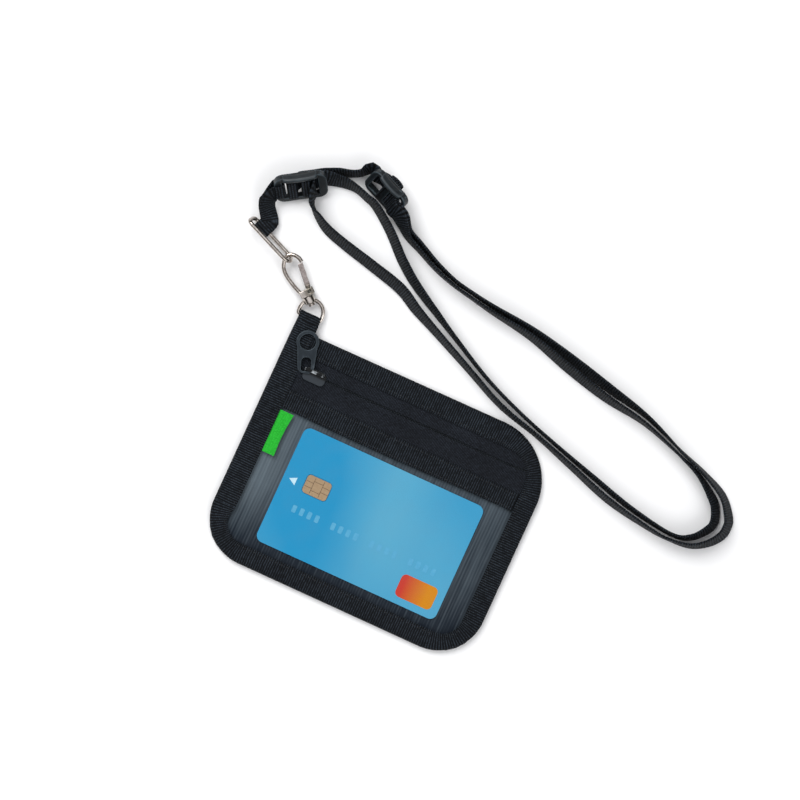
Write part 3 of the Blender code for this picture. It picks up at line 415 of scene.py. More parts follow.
start_x = second_bar + JOINER_BARS[2] / 2 + JOINER_SLOTS[2] / 2 + half_strap / 2
outer_start = in_buckle(joiner_place, [(start_x, -half_strap), (start_x, half_strap), (start_x, near_layer)])
past_right = slide_right + SLIDE_BARS[2] / 2 + PAST_FRAME
past_left = slide_left - SLIDE_BARS[0] / 2 - PAST_FRAME
middle_slot = SLIDE_BARS[1] / 2 + SLIDE_SLOTS[0] / 2
turn_down = slide_right - SLIDE_BARS[2] / 2 - half_strap
turn_up = slide_left + SLIDE_BARS[0] / 2 + half_strap
outer_slide = in_buckle(slide_place, [
    (past_right, near_layer), (slide_right, near_layer), (turn_down, near_layer),
    (middle_slot + STRAP_THICKNESS, half_strap), (middle_slot, -near_layer * 2 / 3),
    (middle_slot - 2 * STRAP_THICKNESS + FIT, -near_layer - STRAP_THICKNESS),
    (slide_middle, -far_layer), (-middle_slot, -far_layer), (turn_up, -near_layer),
    (slide_left, -near_layer), (past_left, -near_layer),
])
joiner_past = right_bar + JOINER_BARS[3] / 2
back_edge = first_bar + JOINER_BARS[1] / 2 + FIT + half_strap
outer_end = in_buckle(joiner_place, [
    (joiner_past, -far_layer), (second_bar + JOINER_SLOTS[1] / 2, -far_layer),
    (back_edge + STRAP_THICKNESS * 2, -far_layer), (back_edge + half_strap, -near_layer),
] + wrap(first_bar, JOINER_BARS[1] / 2, -20, 250))
outer_points = (
    outer_start + list(OUTER_LEAD) + on_table(OUTER_ROUTE) + outer_slide
    + on_table(TOP_ROUTE) + outer_end
)
bm, outer_path = tape(outer_points, STRAP_WIDTH, STRAP_THICKNESS)
outer_run = piece("lanyard_outer_run", bm, webbing, "pouch")
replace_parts(outer_run, "strap_outer_run")

inner_start = in_buckle(
    joiner_place,
    wrap(second_bar, JOINER_BARS[2] / 2, 270, -20)
    + [(right_bar - JOINER_BARS[3] / 2, -near_layer), (joiner_past, -near_layer)],
)
inner_slide = in_buckle(slide_place, [
    (past_right, far_layer), (slide_right, far_layer), (turn_down - half_strap, far_layer),
    (middle_slot, near_layer * 2 / 3),
] + wrap(slide_middle, SLIDE_BARS[1] / 2, 20, -250))
bm, inner_path = tape(inner_start + on_table(INNER_ROUTE) + inner_slide, STRAP_WIDTH, STRAP_THICKNESS)
inner_run = piece("lanyard_inner_run", bm, webbing, "pouch")
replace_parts(inner_run, "strap_inner_run")

# Folded end behind the slide
# The webbing's free end, turned back on itself and stitched flat behind the slide's frame, rounded at its
# corners where it was melted to stop it fraying.

FOLD_THICKNESS = 0.0013
FOLD_HALF = 0.0037
FOLD_STEP = 0.0005
FOLD_PROFILE = ((-3.6, 0.1), (-2.6, 0.0), (-0.9, -0.03), (0.9, 0.0), (2.6, 0.02), (3.6, 0.1))

fold_high = -far_layer - half_strap - FIT - FOLD_THICKNESS / 2
fold_across = slide_place.to_3x3() @ Vector((0, 1, 0))
fold_points = [
    (*(slide_place @ Vector((x * MM, 0, fold_high - dz * MM))), *fold_across) for x, dz in FOLD_PROFILE
]
bm, _ = tape(fold_points, STRAP_WIDTH, FOLD_THICKNESS, step=FOLD_STEP)
for vert in bm.verts:
    local = slide_place.inverted() @ vert.co
    local.y *= 0.6 + 0.4 * math.sqrt(max(0.0, 1 - (local.x / FOLD_HALF) ** 2))
    vert.co = slide_place @ local
end_fold = piece("lanyard_end_fold", bm, webbing, "adjuster")
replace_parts(end_fold, "strap_end_fold")

# End loop
# A closed loop of narrower tape that ties the ring to the joiner's first bar: two layers side by side, turned
# round the bar at one end and round the ring's wire at the other.

END_LOOP_WIDTH = 0.0076
END_LOOP_THICKNESS = 0.0009
END_LOOP_STEP = 0.0008
LAYER_APART = 0.00065
END_LOOP_ROUTE = (
    (-0.0922, 0.0888, 0.0026, 12), (-0.0940, 0.0912, 0.0033, 24), (-0.0958, 0.0937, 0.0048, 38),
    (-0.0967, 0.0960, 0.0070, 46), (-0.0965, 0.0984, 0.0090, 50),
)
RING_WIRE = 0.0019
RING_WIDTH = 0.0095
RING_LEAN = math.radians(68)
RING_DIRECTION = math.radians(157.5)
RING_CENTRE = (-0.08834, 0.08157)
LOOP_FROM_CENTRE = 0.0062

half_short = (RING_WIDTH - RING_WIRE) / 2
ring_low = RING_WIRE / 2 + FIT + END_LOOP_THICKNESS + FIT
ring_place = (
    Matrix.Translation((*RING_CENTRE, ring_low + half_short * math.sin(RING_LEAN)))
    @ Matrix.Rotation(RING_DIRECTION, 4, "Z")
    @ Matrix.Rotation(RING_LEAN, 4, "X")
)
loop_wire = ring_place @ Vector((LOOP_FROM_CENTRE, -half_short, 0))
wire_along = ring_place.to_3x3() @ Vector((1, 0, 0))
onward = Vector((wire_along.y, -wire_along.x, 0))
loop_radius = RING_WIRE / 2 + FIT + END_LOOP_THICKNESS / 2
round_ring = []
for i in range(9):
    angle = math.radians(-60 - 240 * i / 8)
    place = loop_wire + loop_radius * (onward * math.cos(angle) + Vector((0, 0, math.sin(angle))))
    round_ring.append((*place, *wire_along))


def layer(offset):
    """The loop's route moved off its middle, out of the tape's face."""
    filled = stand([(*loop_wire, *wire_along)] + list(END_LOOP_ROUTE) + in_buckle(joiner_place, [(end_bar, 0)]))
    moved = []
    for i, point in enumerate(filled[1:-1], 1):
        ahead = (Vector(filled[i + 1][:3]) - Vector(filled[i - 1][:3])).normalized()
        out = ahead.cross(Vector(point[3:])).normalized()
        moved.append((*(Vector(point[:3]) + out * offset), *point[3:]))
    return moved


loop_points = (
    layer(LAYER_APART)
    + in_buckle(joiner_place, wrap(end_bar, JOINER_BARS[0] / 2, 133, -152, END_LOOP_THICKNESS))
    + layer(-LAYER_APART)[::-1]
    + round_ring
)
bm, _ = tape(
    loop_points + loop_points[:1], END_LOOP_WIDTH, END_LOOP_THICKNESS, closed=True, step=END_LOOP_STEP
)
end_loop = piece("lanyard_end_loop", bm, webbing, "pouch")
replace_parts(end_loop, "strap_end_loop")

# Buckles
# Moulded black plastic frames with soft corners and a broad raised rail along the upper long side, which
# rises from the frame's ends to its middle.

RAIL_RADIUS = 0.0012
RAIL_LIFT = 0.0012
RAIL_SIDE = 0.0066
RAIL_SHORT = 0.004
BUCKLE_VOXEL = 0.00024


def rail(place, bars, slots):
    """A broad bevelled rail along a buckle's long side, as a shape to melt on."""
    half = (sum(bars) + sum(slots)) / 2 - RAIL_SHORT
    steps, sides = 24, 12
    section = []
    for i in range(sides):
        c, s = math.cos(math.tau * i / sides), math.sin(math.tau * i / sides)
        section.append(Vector((
            0, RAIL_RADIUS * math.copysign(abs(c) ** 0.7, c), 1.7 * RAIL_RADIUS * math.copysign(abs(s) ** 0.7, s)
        )))
    rows = []
    for i in range(steps + 1):
        rise = RAIL_LIFT * math.sin(math.pi * i / steps) ** 0.4
        middle = Vector((-half + 2 * half * i / steps, RAIL_SIDE, rise))
        rows.append([place @ (middle + p) for p in section])
    bm = skin(rows, [0] * len(rows), [0] * (sides + 1), around=True, ends=True)
    bmesh.ops.recalc_face_normals(bm, faces=bm.faces)
    return bm


def cast(name, cad, finish, body, voxel, rounds, extra=None):
    """A CAD node as a smooth-cornered moulding, with any extra shape melted on."""
    bm = extra or bmesh.new()
    bm.from_mesh(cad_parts[cad].data)
    bmesh.ops.remove_doubles(bm, verts=bm.verts, dist=1e-7)
    rough = bpy.data.meshes.new(name + "_rough")
    bm.to_mesh(rough)
    bm.free()
    made = bpy.data.objects.new(name, rough)
    bpy.context.scene.collection.objects.link(made)
    remesh = made.modifiers.new("melt", "REMESH")
    remesh.mode = "VOXEL"
    remesh.voxel_size = voxel
    soften = made.modifiers.new("soften", "SMOOTH")
    soften.iterations = rounds
    graph = bpy.context.evaluated_depsgraph_get()
    mesh = bpy.data.meshes.new_from_object(made.evaluated_get(graph))
    made.modifiers.clear()
    made.data = mesh
    bpy.data.meshes.remove(rough)
    mesh.name = name
    mesh.shade_smooth()
    mesh.materials.clear()
    mesh.materials.append(finish)
    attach(made, body)
    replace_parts(made, cad)
    return made


# Moulded acetal: a soft dark sheen with a faint spark-eroded grain, its edges painted paler as a mottled highlight.
buckle_plastic, tree, surface, where = material("black_plastic", Roughness=0.42, Specular_IOR_Level=0.4)
# Paler edges found by curvature and mottled by noise: a painted highlight.
edges = node(tree, "MapRange", (node(tree, "NewGeometry", output="Pointiness"), 0.495, 0.545))
scuffs = node(tree, "TexNoise", {"Vector": where, "Scale": 260.0, "Detail": 6.0})
scuffs = node(tree, "MapRange", (scuffs, 0.3, 0.7, 0.5, 1.0))
buckle_edge_highlight = node(tree, "Math", (edges, scuffs), operation="MULTIPLY")
node(tree, "Mix", {0: buckle_edge_highlight, 6: "0B0E11", 7: "46535A"}, 2, surface["Base Color"], data_type="RGBA")
sheen = node(tree, "TexNoise", {"Vector": where, "Scale": 900.0, "Detail": 3.0})
node(tree, "MapRange", (sheen, 0.3, 0.7, 0.34, 0.52), to=surface["Roughness"])
grain = node(tree, "TexNoise", {"Vector": where, "Scale": 3500.0, "Detail": 3.0})
node(tree, "Bump", {"Height": grain, "Distance": 0.00003}, to=surface["Normal"])

joiner = cast(
    "joiner_frame", "joiner_buckle", buckle_plastic, "pouch", BUCKLE_VOXEL, 5,
    rail(joiner_place, JOINER_BARS, JOINER_SLOTS),
)
slide = cast(
    "slide_frame", "slide_buckle", buckle_plastic, "adjuster", BUCKLE_VOXEL, 5,
    rail(slide_place, SLIDE_BARS, SLIDE_SLOTS),
)

# Ring, eye, hook and gate
# Nickel-plated wire and castings, rounded all over. The gate is a stamped strip on a pin through the hook's
# boss, and the hook turns on a headed rivet in the eye's boss.

pin_low, pin_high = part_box("gate_pin")
PIN_PLACE = (pin_low + pin_high) / 2


def plated(name, colour, tarnish, roughness, olive_near_pin=0.0):
    """Nickel plate: bright and finely scratched, dull in patches, with an olive tone mixed in round the gate's pin.
    """
    made, tree, surface, where = material(name, Metallic=1.0, Roughness=roughness)
    dull = node(tree, "TexNoise", {"Vector": where, "Scale": 500.0, "Detail": 5.0})
    dull = node(tree, "MapRange", (dull, 0.4, 0.75))
    plate = node(tree, "Mix", {0: dull, 6: colour, 7: tarnish}, 2, data_type="RGBA")
    # An olive tone mixed in near the gate's pin, fading with distance from it.
    away = node(tree, "VectorMath", (where, PIN_PLACE), "Value", operation="DISTANCE")
    near = node(tree, "MapRange", (away, 0.0018, 0.0042, olive_near_pin, 0.0))
    node(tree, "Mix", {0: near, 6: plate, 7: "4C4836"}, 2, surface["Base Color"], data_type="RGBA")
    haze = node(tree, "TexNoise", {"Vector": where, "Scale": 1400.0, "Detail": 4.0})
    node(tree, "MapRange", (haze, 0.3, 0.8, roughness * 0.8, roughness * 1.7), to=surface["Roughness"])
    scratches = node(tree, "TexNoise", {"Vector": where, "Scale": 5200.0, "Detail": 3.0})
    node(tree, "Bump", {"Height": scratches, "Distance": 0.00001}, to=surface["Normal"])
    return made


def dress(name, finish):
    """Gives a CAD node's own mesh its finish."""
    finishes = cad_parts[name].data.materials
    finishes.clear()
    finishes.append(finish)


# Nickel on the castings, a duller warmer plate on the stamped gate, and bare spring steel on its pin and coil.
nickel = plated("nickel", "CFC7BF", "80766E", roughness=0.14, olive_near_pin=0.9)
gate_nickel = plated("gate_nickel", "A89E9A", "776D68", roughness=0.24, olive_near_pin=0.9)
spring_steel = plated("spring_steel", "6E6D66", "45423A", roughness=0.3)
ring = cast("oval_ring", "lanyard_ring", nickel, "ring", voxel=0.00018, rounds=6)
cast("swivel_d_ring", "swivel_eye", nickel, "eye", voxel=0.00014, rounds=6)
cast("snap_hook", "hook_body", nickel, "hook", voxel=0.00014, rounds=5)
cast("snap_gate", "hook_gate", gate_nickel, "gate", voxel=0.00011, rounds=4)
cast("swivel_rivet", "swivel_pin", nickel, "hook", voxel=0.00009, rounds=3)
dress("gate_pin", spring_steel)
dress("gate_spring", spring_steel)

# Back of the pouch and its lining
# Plain-woven nylon, coated inside. The grey lining is a loose rounded panel, sewn in with the binding, that
# shows through the window round the card.

LEFT, RIGHT, BOTTOM, TOP = -0.06425, 0.06425, -0.052, 0.052
OPEN_LEFT, OPEN_RIGHT, OPEN_BOTTOM, OPEN_TOP = -0.05525, 0.05565, -0.0434, 0.0423
BACK_HIGH = 0.0014
BINDING_HIGH = 0.00416
YARN_PITCH = 0.0009
LINING_INSET = 0.001
LINING_TOP = 0.026
LINING_CORNER = 0.017


def outline_prism(bm, points, z0, z1):
    """Adds a closed plate between two heights over an outline."""
    low = bm.faces.new([bm.verts.new((x, y, z0)) for x, y in points])
    raised = bmesh.ops.extrude_face_region(bm, geom=[low])["geom"]
    moved = [v for v in raised if isinstance(v, bmesh.types.BMVert)]
    bmesh.ops.translate(bm, verts=moved, vec=(0, 0, z1 - z0))


def rounded(x0, x1, y0, y1, radius, steps=6):
    """A rounded rectangle's outline."""
    points = []
    for x, y, start in (
        (x0 + radius, y0 + radius, 180), (x1 - radius, y0 + radius, 270),
        (x1 - radius, y1 - radius, 0), (x0 + radius, y1 - radius, 90),
    ):
        for step in range(steps + 1):
            angle = math.radians(start + 90 * step / steps)
            points.append((x + radius * math.cos(angle), y + radius * math.sin(angle)))
    return points


# Plain weave in near-black nylon: a fine pebble of crossed yarns, seen only from behind.
back_cloth, tree, surface, where = material("back_cloth", Roughness=0.8, Specular_IOR_Level=0.3)
parts = node(tree, "SeparateXYZ", [where]).node.outputs
warp, weft = [
    node(tree, "Math", (node(tree, "Math", (part, YARN_PITCH), operation="DIVIDE"), 0.5), operation="PINGPONG")
    for part in parts[:2]
]
weave = node(tree, "Math", (warp, weft), operation="ADD")
patches = node(tree, "TexNoise", {"Vector": where, "Scale": 60.0, "Detail": 3.0})
shade = node(tree, "Math", (node(tree, "Math", (weave, patches), operation="ADD"), 0.6), operation="MULTIPLY")
node(tree, "Mix", {0: shade, 6: "0A0C0F", 7: "22262D"}, 2, surface["Base Color"], data_type="RGBA")
node(tree, "Bump", {"Height": weave, "Distance": 0.00012}, to=surface["Normal"])
dress("back_panel", back_cloth)

# Coated lining: blue-grey and streaked along the pouch's height, with painted light making it palest at its left
# side and painted shade making it dark at its foot.
lining_cloth, tree, surface, where = material("lining_cloth", Roughness=0.75, Specular_IOR_Level=0.1)
parts = node(tree, "SeparateXYZ", [where]).node.outputs
stretched = {"Vector": where, "Rotation": (0, 0, math.radians(-4)), "Scale": (620.0, 26.0, 1.0)}
streaks = node(tree, "TexNoise", {"Vector": node(tree, "Mapping", stretched), "Scale": 1.0, "Detail": 2.0})
waves = {"Vector": where, "Scale": 240.0, "Distortion": 2.5, "Detail": 2.0, "Detail Scale": 0.12}
waves = node(tree, "TexWave", waves, 1, bands_direction="X")
# Painted light and shade: paler toward the upper left, where the key light comes from, and darker toward the foot.
up = node(tree, "MapRange", (parts[1], OPEN_BOTTOM, -0.016))
to_left = node(tree, "MapRange", (parts[0], -0.035, OPEN_LEFT, 0.29, 0.98))
light = node(tree, "Math", (up, to_left), operation="MULTIPLY")
for source, low, high, least, most in (
    (parts[1], 0.0, 0.018, 0.0, 0.08), (streaks, 0.3, 0.7, -0.14, 0.14), (waves, 0.0, 1.0, -0.09, 0.09),
):
    part = node(tree, "MapRange", (source, low, high, least, most))
    light = node(tree, "Math", (light, part), operation="ADD")
node(tree, "Mix", {0: light, 6: "0E1823", 7: "5E6A72"}, 2, surface["Base Color"], data_type="RGBA")
node(tree, "Bump", {"Height": streaks, "Distance": 0.00008}, to=surface["Normal"])
bm = bmesh.new()
outline_prism(
    bm, rounded(LEFT + LINING_INSET, RIGHT - LINING_INSET, BOTTOM + LINING_INSET, LINING_TOP, LINING_CORNER),
    BACK_HIGH + 0.00006, BACK_HIGH + 0.00022,
)
piece("pocket_lining", bm, lining_cloth, "pouch")

# Edge binding and the tab's tape
# Ribbed tape folded over the pouch's edge and sewn through, its ribs square to the edge and fanned out
# round the corners. The left side's tape runs on up, round the eye's bar and down the back.

WALL = 0.0006
FOLD = 0.0021
SEAM_IN = 0.0013
SIDE_LOW = BOTTOM + 0.0215
SIDE_EDGE = -0.05415
LOW_RADIUS, TOP_RADIUS = 0.0212, 0.0275
INNER_LOW_RADIUS, INNER_TOP_RADIUS = 0.009, 0.012
EYE_X, BAR_Y = -0.0597, 0.05772
NARROW_FROM = 0.046
SHOULDER = 0.0558
TAB_WIDTH, TAB_THICKNESS = 0.0084, 0.00098
LEAF_WIDTH, LEAF_THICKNESS = 0.0097, 0.0005
SIDE_STITCH = (2.6, 1.7, 0.00013)
LEAF_RISE = (
    (SHOULDER - 0.0006, 0.0040), (SHOULDER + 0.001, 0.00404), (0.058, 0.00418), (0.0591, 0.0044), (0.0596, 0.00445),
)


def profile(width, along, crown=0.00022):
    """The binding's folded section at a station: distance out from its inner edge, and height."""
    flat = width - FOLD
    pucker = 0.00006 * math.sin(along * 2.51) + 0.00009 * math.sin(along * 0.37 + 1.3)
    points = []
    for s in (0.0, 0.05, 0.13, 0.2, 0.32, 0.5, 0.7, 0.88, 1.0):
        seam = -0.00016 * math.exp(-(((s * flat - SEAM_IN) / 0.0005) ** 2))
        points.append((flat * s, BINDING_HIGH + crown * math.sin(math.pi * s) + seam + pucker * (s > 0)))
    middle = BINDING_HIGH / 2
    for step in range(1, 10):
        angle = math.pi / 2 - math.pi * step / 10
        points.append((flat + FOLD * math.cos(angle), middle + middle * math.sin(angle)))
    points += [(flat * s, 0.0) for s in (1.0, 0.6, 0.2, 0.0)]
    points += [(flat * s, WALL) for s in (0.0, 0.5, 1.0)]
    points.append((width - WALL, middle))
    points += [(flat * s, BINDING_HIGH - WALL) for s in (1.0, 0.5, 0.0)]
    return points


def bind(stations):
    """The skin of a folded tape over pairs of outer and inner points, the line of its seam, and its run."""
    us = running([Vector((*outer, 0)).lerp(Vector((*inner, 0)), 0.5) for outer, inner in stations])
    rows, seam = [], []
    for (outer, inner), u in zip(stations, us):
        out = Vector((*outer, 0)) - Vector((*inner, 0))
        width = out.length
        out.normalize()
        rows.append([Vector((*inner, 0)) + out * d + Vector((0, 0, z)) for d, z in profile(width, u)])
        seam.append(Vector((*inner, BINDING_HIGH - 0.00008)) + out * SEAM_IN)
    vs = running([(d, z, 0) for d, z in profile(0.0086, 0.0)])
    return skin(rows, us, vs + vs[-1:], around=True, ends=True), seam, us


def quarter(centre, radius, start):
    """Points round a quarter circle."""
    angles = [math.radians(start + 90 * i / 24) for i in range(25)]
    return [(centre[0] + radius * math.cos(a), centre[1] + radius * math.sin(a)) for a in angles]


def paired(outer, inner, count):
    """Pairs of points at equal shares of the length of two lines, without the last."""
    found = []
    for k in range(count):
        pair = []
        for line in (outer, inner):
            reach = running([(*point, 0) for point in line])
            place = reach[-1] * k / count
            i = max(j for j in range(len(line) - 1) if reach[j] <= place)
            share = (place - reach[i]) / (reach[i + 1] - reach[i])
            pair.append(tuple(a + (b - a) * share for a, b in zip(line[i], line[i + 1])))
        found.append(tuple(pair))
    return found


def capsule(bm, start, end, radius, sides=6):
    """Adds a thread-like rod with domed ends between two points."""
    start, end = Vector(start), Vector(end)
    along = (end - start).normalized()
    side = along.orthogonal().normalized()
    other = along.cross(side)
    rings = []
    for share, size in ((0.0, 0.25), (0.06, 0.75), (0.2, 1.0), (0.8, 1.0), (0.94, 0.75), (1.0, 0.25)):
        centre = start.lerp(end, share)
        rings.append([
            bm.verts.new(centre + radius * size * (
                side * math.cos(math.tau * i / sides) + other * math.sin(math.tau * i / sides)))
            for i in range(sides)
        ])
    for near, far in zip(rings, rings[1:]):
        for i in range(sides):
            bm.faces.new((near[i], near[(i + 1) % sides], far[(i + 1) % sides], far[i]))
    bm.faces.new(rings[0][::-1])
    bm.faces.new(rings[-1])


def stitches(name, line, pitch, length, radius):
    """A row of stitches along a line on a surface, their ends pulled into it: pitch and length in millimetres."""
    bm = bmesh.new()
    reach = running(line)
    start = pitch / 2
    i = 0
    while start + length < reach[-1]:
        ends = []
        for place in (start, start + length):
            while i < len(line) - 2 and reach[i + 1] < place:
                i += 1
            while i > 0 and reach[i] > place:
                i -= 1
            share = (place - reach[i]) / (reach[i + 1] - reach[i])
            ends.append(Vector(line[i]).lerp(Vector(line[i + 1]), share))
        middle = (ends[0] + ends[1]) / 2 + Vector((0, 0, radius * 0.7))
        capsule(bm, ends[0] - Vector((0, 0, radius * 0.6)), middle, radius)
        capsule(bm, middle, ends[1] - Vector((0, 0, radius * 0.6)), radius)
        start += pitch
    piece(name, bm, thread, "pouch")


# Grosgrain of spun polyester: flat charcoal ribs, their crests painted lighter as sheen and their grooves painted
# almost black as shade.
tape_cloth = woven("charcoal_tape", "020305", "30373F", pitch=1.04, yarn=1.0, depth=0.0003, roughness=0.75)

# Bonded black thread with the two tones of its twist.
thread, tree, surface, where = material("black_thread", Roughness=0.55)
twist = node(tree, "TexWave", {"Vector": where, "Scale": 900.0}, 1)
node(tree, "Mix", {0: twist, 6: "06070A", 7: "1C2027"}, 2, surface["Base Color"], data_type="RGBA")

corner_left, corner_right = LEFT + LOW_RADIUS, RIGHT - LOW_RADIUS
corner_up, top_start, top_turn = BOTTOM + LOW_RADIUS, TOP - TOP_RADIUS, RIGHT - TOP_RADIUS
top_end = SIDE_EDGE + 0.0003
top_end_pair = ((top_end, TOP - 0.0005), (top_end, OPEN_TOP))
stations = paired(
    [(LEFT, SIDE_LOW)] + quarter((corner_left, corner_up), LOW_RADIUS, 180),
    [(SIDE_EDGE, SIDE_LOW)]
    + quarter((OPEN_LEFT + INNER_LOW_RADIUS, OPEN_BOTTOM + INNER_LOW_RADIUS), INNER_LOW_RADIUS, 180)
    + [(corner_left, OPEN_BOTTOM)],
    34,
) + paired(
    [(corner_left, BOTTOM), (corner_right, BOTTOM)], [(corner_left, OPEN_BOTTOM), (corner_right, OPEN_BOTTOM)], 60
) + paired(
    quarter((corner_right, corner_up), LOW_RADIUS, 270),
    [(corner_right, OPEN_BOTTOM)]
    + quarter((OPEN_RIGHT - INNER_LOW_RADIUS, OPEN_BOTTOM + INNER_LOW_RADIUS), INNER_LOW_RADIUS, 270)
    + [(OPEN_RIGHT, corner_up)],
    34,
) + paired(
    [(RIGHT, corner_up), (RIGHT, top_start)], [(OPEN_RIGHT, corner_up), (OPEN_RIGHT, top_start)], 36
) + paired(
    quarter((top_turn, top_start), TOP_RADIUS, 0),
    [(OPEN_RIGHT, top_start)]
    + quarter((OPEN_RIGHT - INNER_TOP_RADIUS, OPEN_TOP - INNER_TOP_RADIUS), INNER_TOP_RADIUS, 0)
    + [(top_turn, OPEN_TOP)],
    34,
) + paired([(top_turn, TOP), top_end_pair[0]], [(top_turn, OPEN_TOP), top_end_pair[1]], 60) + [top_end_pair]
bm, seam, _ = bind(stations)
binding = piece("folded_edge_binding", bm, tape_cloth, "pouch")
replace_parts(binding, "edge_binding")
stitches("binding_stitches", seam, *SIDE_STITCH)

shoulder_pair = ((EYE_X - 0.0044, SHOULDER), (EYE_X + 0.0055, SHOULDER))
side_stations = paired(
    [(LEFT, SIDE_LOW), (LEFT, NARROW_FROM)], [(SIDE_EDGE, SIDE_LOW), (SIDE_EDGE, NARROW_FROM)], 44
) + paired(
    [(LEFT, NARROW_FROM), shoulder_pair[0]], [(SIDE_EDGE, NARROW_FROM), shoulder_pair[1]], 8
) + [shoulder_pair]
bm, side_seam, side_us = bind(side_stations)
side_tape = piece("folded_side_tape", bm, tape_cloth, "pouch")


def run_on(bm):
    """Starts a piece's ribs where the side tape's end."""
    along = bm.loops.layers.uv["UVMap"]
    for face in bm.faces:
        for loop in face.loops:
            loop[along].uv.x += side_us[-1]
    return bm


bar_z = BINDING_HIGH / 2
reach = bar_z - 0.0005
tab_points = [
    (EYE_X, y, 2 * bar_z - 0.0005, 1, 0, 0) for y in (SHOULDER - 0.0004, SHOULDER, BAR_Y - 0.0008)
]
for i in range(13):
    angle = math.pi / 2 - math.pi * i / 12
    tab_points.append((EYE_X, BAR_Y + reach * math.cos(angle), bar_z + reach * math.sin(angle), 1, 0, 0))
tab_points += [(EYE_X, y, 0.0005, 1, 0, 0) for y in (BAR_Y - 0.0008, SHOULDER, SHOULDER - 0.0004)]
bm, _ = tape(tab_points, TAB_WIDTH, TAB_THICKNESS, step=0.0003)
tab = piece("folded_tab", run_on(bm), tape_cloth, "pouch")
bm, _ = tape([(EYE_X + 0.0006, y, z, 1, 0, 0) for y, z in LEAF_RISE], LEAF_WIDTH, LEAF_THICKNESS, step=0.0004)
piece("tab_front_leaf", run_on(bm), tape_cloth, "pouch")
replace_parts(side_tape, "side_binding")
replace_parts(tab, "side_binding")
stitches("side_stitches", side_seam, *SIDE_STITCH)

# Cross tape
# A strip of the same ribbed tape over the join of the window and the zip, sewn along both edges. It sags a
# little toward its middle, and ripples between its stitches.

CROSS_LOW, CROSS_HIGH = 0.0176, 0.0261
CROSS_INSET = 0.0004
CROSS_STITCH = (2.4, 1.6, 0.00012)
CROSS_SECTION = (
    (0.0, -0.0004), (0.015, -0.0001), (0.06, 0.0), (0.13, -0.00008), (0.3, 0.0001), (0.5, 0.00014), (0.7, 0.0001),
    (0.87, -0.00008), (0.94, 0.0), (0.985, -0.0001), (1.0, -0.0004),
)

rows, low_seam, high_seam = [], [], []
for i in range(89):
    share = i / 88
    x = OPEN_LEFT + CROSS_INSET + (OPEN_RIGHT - OPEN_LEFT - 2 * CROSS_INSET) * share
    low = CROSS_LOW - 0.0006 * math.sin(math.pi * min(share * 1.25, 1.0)) + 0.0004 * share
    high = CROSS_HIGH + 0.0003 * math.sin(math.pi * share)
    top_z = BINDING_HIGH - 0.0002 + 0.00005 * math.sin(i * 1.7) + 0.00008 * math.sin(i * 0.31)
    rows.append(
        [Vector((x, low + (high - low) * s, top_z + dz)) for s, dz in CROSS_SECTION]
        + [Vector((x, low + (high - low) * s, top_z - WALL)) for s in (0.98, 0.5, 0.02)]
    )
    low_seam.append(Vector((x, low + (high - low) * 0.13, top_z - 0.00006)))
    high_seam.append(Vector((x, low + (high - low) * 0.87, top_z - 0.00006)))
us = running([row[0] for row in rows])
vs = running([(p.y, p.z, 0) for p in rows[0]])
bm = skin(rows, us, vs + vs[-1:], around=True, ends=True)
cross = piece("cross_tape_strip", bm, tape_cloth, "pouch")
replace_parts(cross, "cross_tape")
stitches("cross_low_stitches", low_seam, *CROSS_STITCH)
stitches("cross_high_stitches", high_seam, *CROSS_STITCH)

# Zip tapes and coils
# Twilled tapes whose inner edges are rolled up over the coils, so that only the tips of the teeth show
# between them. Their twill is drawn coarser than the real 0.4 mm, or it would blur to one tone.

COIL_LINE = 0.036
ZIP_Z = 0.00326
ZIP_UNDER = 0.003
HALF_GAP = 0.0004
TOOTH_PITCH = 0.00127
TOOTH_REACH = 0.0013
ROLL = (
    (0.0, 0.0002), (0.0, 0.0006), (0.02, 0.00072), (0.09, 0.00074), (0.17, 0.0006), (0.25, 0.0002),
    (0.33, 0.0001), (0.5, 0.00016), (0.7, 0.00008), (0.85, 0.0), (1.0, 0.0),
)

# Woven polyester zip tape: dull black with a fine slanting grain, its ribs painted lighter as sheen and its grooves
# darker as shade.
zip_cloth = woven("zip_tape_cloth", "06070A", "2F353E", pitch=0.62, yarn=0.6, depth=0.00016, roughness=0.8)


def coil_y(x):
    """The zip's line, which rises a little at its right end."""
    return COIL_LINE + 0.0005 * max(0.0, (x - 0.045) / 0.01) ** 1.5


def zip_tape(name, cad, far, side):
    """One tape from its hidden edge to the coil, rolled over the coil's back, inside the pouch's corner."""
    rows = []
    for i in range(121):
        x = OPEN_LEFT - ZIP_UNDER + (OPEN_RIGHT - OPEN_LEFT + 2 * ZIP_UNDER) * i / 120
        edge = coil_y(x) + side * HALF_GAP
        past = max(0.0, x - top_turn)
        inside_corner = top_start + math.sqrt((TOP_RADIUS - 0.0015) ** 2 - past**2)
        span = abs(min(far, inside_corner) - edge)
        tick = 0.00005 * math.sin(x / TOOTH_PITCH * math.tau / 2)
        row = []
        for s, z in ROLL:
            lift = tick if 0.02 <= s <= 0.2 else 0.0
            row.append(Vector((x, edge + side * span * s, ZIP_Z + z + lift)))
        rows.append(row + [Vector((x, edge + side * span * s, ZIP_Z - 0.0003)) for s in (1.0, 0.5, 0.06)])
    us = running([row[0] for row in rows])
    vs = running([(p.y, p.z, 0) for p in rows[0]])
    bm = skin(rows, us, vs + vs[-1:], around=True, ends=True)
    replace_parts(piece(name, bm, zip_cloth, "pouch"), cad)


zip_tape("zip_lower_cloth", "zip_tape_lower", 0.0222, -1)
zip_tape("zip_upper_cloth", "zip_tape_upper", 0.0432, 1)

